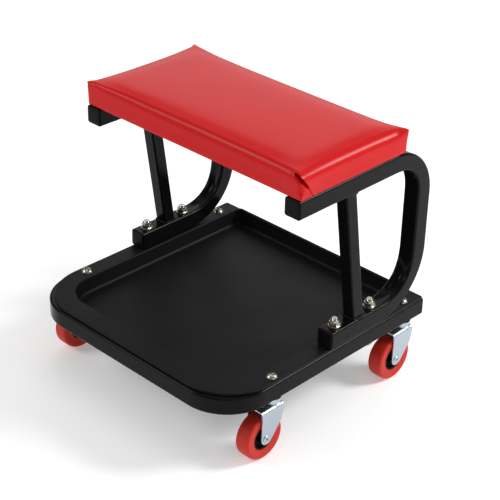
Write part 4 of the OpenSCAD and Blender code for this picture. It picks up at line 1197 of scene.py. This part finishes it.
def rounded_corner(around, radius):
    """Shifts into both sides that turn a square corner into a round one."""
    angle = math.pi / 4 * np.clip(1 - np.abs(around) / radius, 0, 1)
    inward, along = radius * (1 - np.cos(angle)), radius * (1 - np.sin(angle)) - np.abs(around)
    along = np.where(angle > 0, along, 0)
    return np.where(around > 0, inward, along), np.where(around > 0, along, inward)


# %% [markdown]
# Now the points move. At the front corners the vinyl of the ends lies outside, and at the
# rear corners that of the long side. Three corners are folded shut, so hem and lip lie
# together, and their tips are drawn out to small ears. The front right one stands open.

# %% Fold the four corners
EAR_REACH, EAR_X, EAR_Y = 9.0, 2.6, 1.0
SHUT_GAP = 0.8
FOLD_REACH, FOLD_FADE = 30.0, 6.0
BAND_REACH, BAND_FADE = 13.0, 4.0
FOOT_FADE, ROUND_RISE = 1.5, 12.0
LEAST_LIP_R, LEAST_INNER_R = 0.05, 0.01
TURN_DEPTH, INNER_FADE, MOST_SLACK = 4.0, 0.5, 0.6

co = np.array([w.co for w in cushion.data.vertices]) / MM
height = np.clip(co[:, 2] - RAIL_TOP, 0, None)
sx, sy = np.sign(co[:, 0]), np.sign(co[:, 1] - SEAT_Y)
in_x, in_y = SEAT_L / 2 - np.abs(co[:, 0]), SEAT_W / 2 - np.abs(co[:, 1] - SEAT_Y)
front = sy < 0
open_fold = front & (sx > 0)
around, inward = around_corner(co[:, 0], co[:, 1])
past_lip = beyond(flowing(LIP), around, height)
past_hem = np.where(open_fold, beyond(flowing(HEM), around, height), past_lip + SHUT_GAP)
near = np.clip((FOLD_REACH - np.abs(around)) / FOLD_FADE, 0, 1)
near = near * np.clip((BAND_REACH - inward) / BAND_FADE, 0, 1) * eased(height / FOOT_FADE)
steep = 1 - np.clip([w.normal.z for w in cushion.data.vertices], 0, 1) ** 2
depth = fold_depth(past_lip, past_hem, around, height, LEAST_LIP_R + LIP_R * steep) * near
facing = math.pi / 2 * np.clip((1 + around / INNER_R) / 2, 0, 1)
to_diagonal = (math.pi / 4 - facing) * eased(depth / TURN_DEPTH)
facing = np.where(open_fold & (past_lip < 0), facing + to_diagonal, facing)
round_x, round_y = rounded_corner(around, LEAST_INNER_R + INNER_R * eased(height / ROUND_RISE))
rolled = 1 - np.sqrt(1 - np.clip(1 - (SEAT_T - height) / ROLL_H, 0, 1) ** 2)
slack = np.clip(np.minimum(in_x - ROLL_X * rolled, in_y - ROLL_Y * rolled), 0, MOST_SLACK)
inner_layer = eased(-past_lip / INNER_FADE) * near * open_fold
tip = np.exp(-(in_x ** 2 + in_y ** 2) / EAR_REACH ** 2) * (height / SEAT_T) ** 3 * ~open_fold
to_side, to_end = depth * np.sin(facing), depth * np.cos(facing)
folded = np.array([np.where(front, to_side, to_end) + (round_x - slack) * inner_layer,
                   np.where(front, to_end, to_side) + (round_y - slack) * inner_layer]).T
folded = averaged(cushion, folded, 2)
co[:, 0] += sx * (EAR_X * tip - folded[:, 0])
co[:, 1] += sy * (np.where(front, 0.0, EAR_Y) * tip - folded[:, 1])
cushion.data.vertices.foreach_set("co", (co * MM).ravel())
print("deepest point of the folds", round(float(depth.max()), 1), "mm")

# %% [markdown]
# Solidify gives the vinyl its thickness, which shows at the stapled edge under the board.
# Higher up the sheet stays thin, because a thick one would poke through itself at the lip.

# %% Finish the cushion
VINYL_T = 1.1
TURNED_IN_TO = 1.0
THIN_SHARE = 0.1

turned_in = cushion.vertex_groups.new(name="turned_in")
turned_in.add([i for i, h in enumerate(height) if h < TURNED_IN_TO], 1.0, "REPLACE")
sheet = cushion.modifiers.new("vinyl_sheet", "SOLIDIFY")
sheet.thickness, sheet.offset = VINYL_T * MM, -1
sheet.vertex_group, sheet.thickness_vertex_group = "turned_in", THIN_SHARE
apply_modifiers(cushion)
cushion.data.shade_smooth()
co = np.array([w.co for w in cushion.data.vertices]) / MM
print("cushion spans", np.round(co.min(0), 1), np.round(co.max(0), 1))

# %% [markdown]
# ## Studio
# The seat stands on wide pale paper. Three lamps do most of the work. One behind it on the
# right is mirrored in the rolled edges as long pale streaks and lights the right-hand sides,
# one in front on the left lifts the long front side, and a large one overhead keeps the
# shadow on the floor faint. Two weak ones fill in from the right and from the rear left. The
# paper glows a little, as overexposed paper seems to do in a photograph.

# %% Floor, lamps and surroundings
paper, place = new_material("studio_paper")
fibre = add_node(paper, "TexNoise", {"Vector": place, "Scale": per_metre(4), "Detail": 3})
paper_white = add_node(paper, "Mix",
                       {0: fibre.outputs["Fac"], 6: linear("f4f4f4"), 7: linear("f7f7f7")},
                       data_type="RGBA")
close_material(paper, add_node(
    paper, "BsdfPrincipled",
    {"Base Color": paper_white.outputs[2], "Roughness": 0.9, "Specular IOR Level": 0.2,
     "Emission Color": linear("f7f7f7"), "Emission Strength": 0.3}))
FLOOR_HALF_M = 40.0
floor_corners = [(sx * FLOOR_HALF_M, sy * FLOOR_HALF_M, 0) for sx, sy in ((-1, -1), (1, -1), (1, 1), (-1, 1))]
floor_mesh = bpy.data.meshes.new("studio_floor")
floor_mesh.from_pydata(floor_corners, [], [(0, 1, 2, 3)])
floor_mesh.materials.append(paper)
floor = bpy.data.objects.new("studio_floor", floor_mesh)
bpy.context.scene.collection.objects.link(floor)


def soft_lamp(name, place, size, power):
    """A square soft lamp that looks at the middle of the seat."""
    data = bpy.data.lights.new(name, "AREA")
    data.shape, data.size, data.energy = "SQUARE", size, power
    lamp = bpy.data.objects.new(name, data)
    lamp.location = place
    aim = Vector((0, 0, 0.2)) - Vector(place)
    lamp.rotation_euler = aim.to_track_quat("-Z", "Y").to_euler()
    bpy.context.scene.collection.objects.link(lamp)
    return lamp


soft_lamp("overhead_softbox", (0.3, 0.3, 4.0), 3.4, 25)
soft_lamp("right_rear_softbox", (1.5, 1.6, 1.8), 0.8, 48)
soft_lamp("right_softbox", (2.3, -0.6, 1.2), 1.0, 5)
soft_lamp("left_front_softbox", (-1.6, -1.9, 1.9), 1.2, 26)
soft_lamp("left_rear_softbox", (-2.0, 2.2, 1.5), 1.8, 9)
studio = bpy.data.worlds.new("studio")
studio.use_nodes = True
studio.node_tree.nodes["Background"].inputs["Color"].default_value = (1, 1, 1, 1)
studio.node_tree.nodes["Background"].inputs["Strength"].default_value = 0.3
bpy.context.scene.world = studio
bpy.context.scene.view_settings.view_transform = "Standard"

# %% [markdown]
# ## Finish
# Last, the view layer is brought up to date. The dressed model must stay inside the CAD
# model's box, apart from a little fabric.

# %% Finish
bpy.context.view_layer.update()
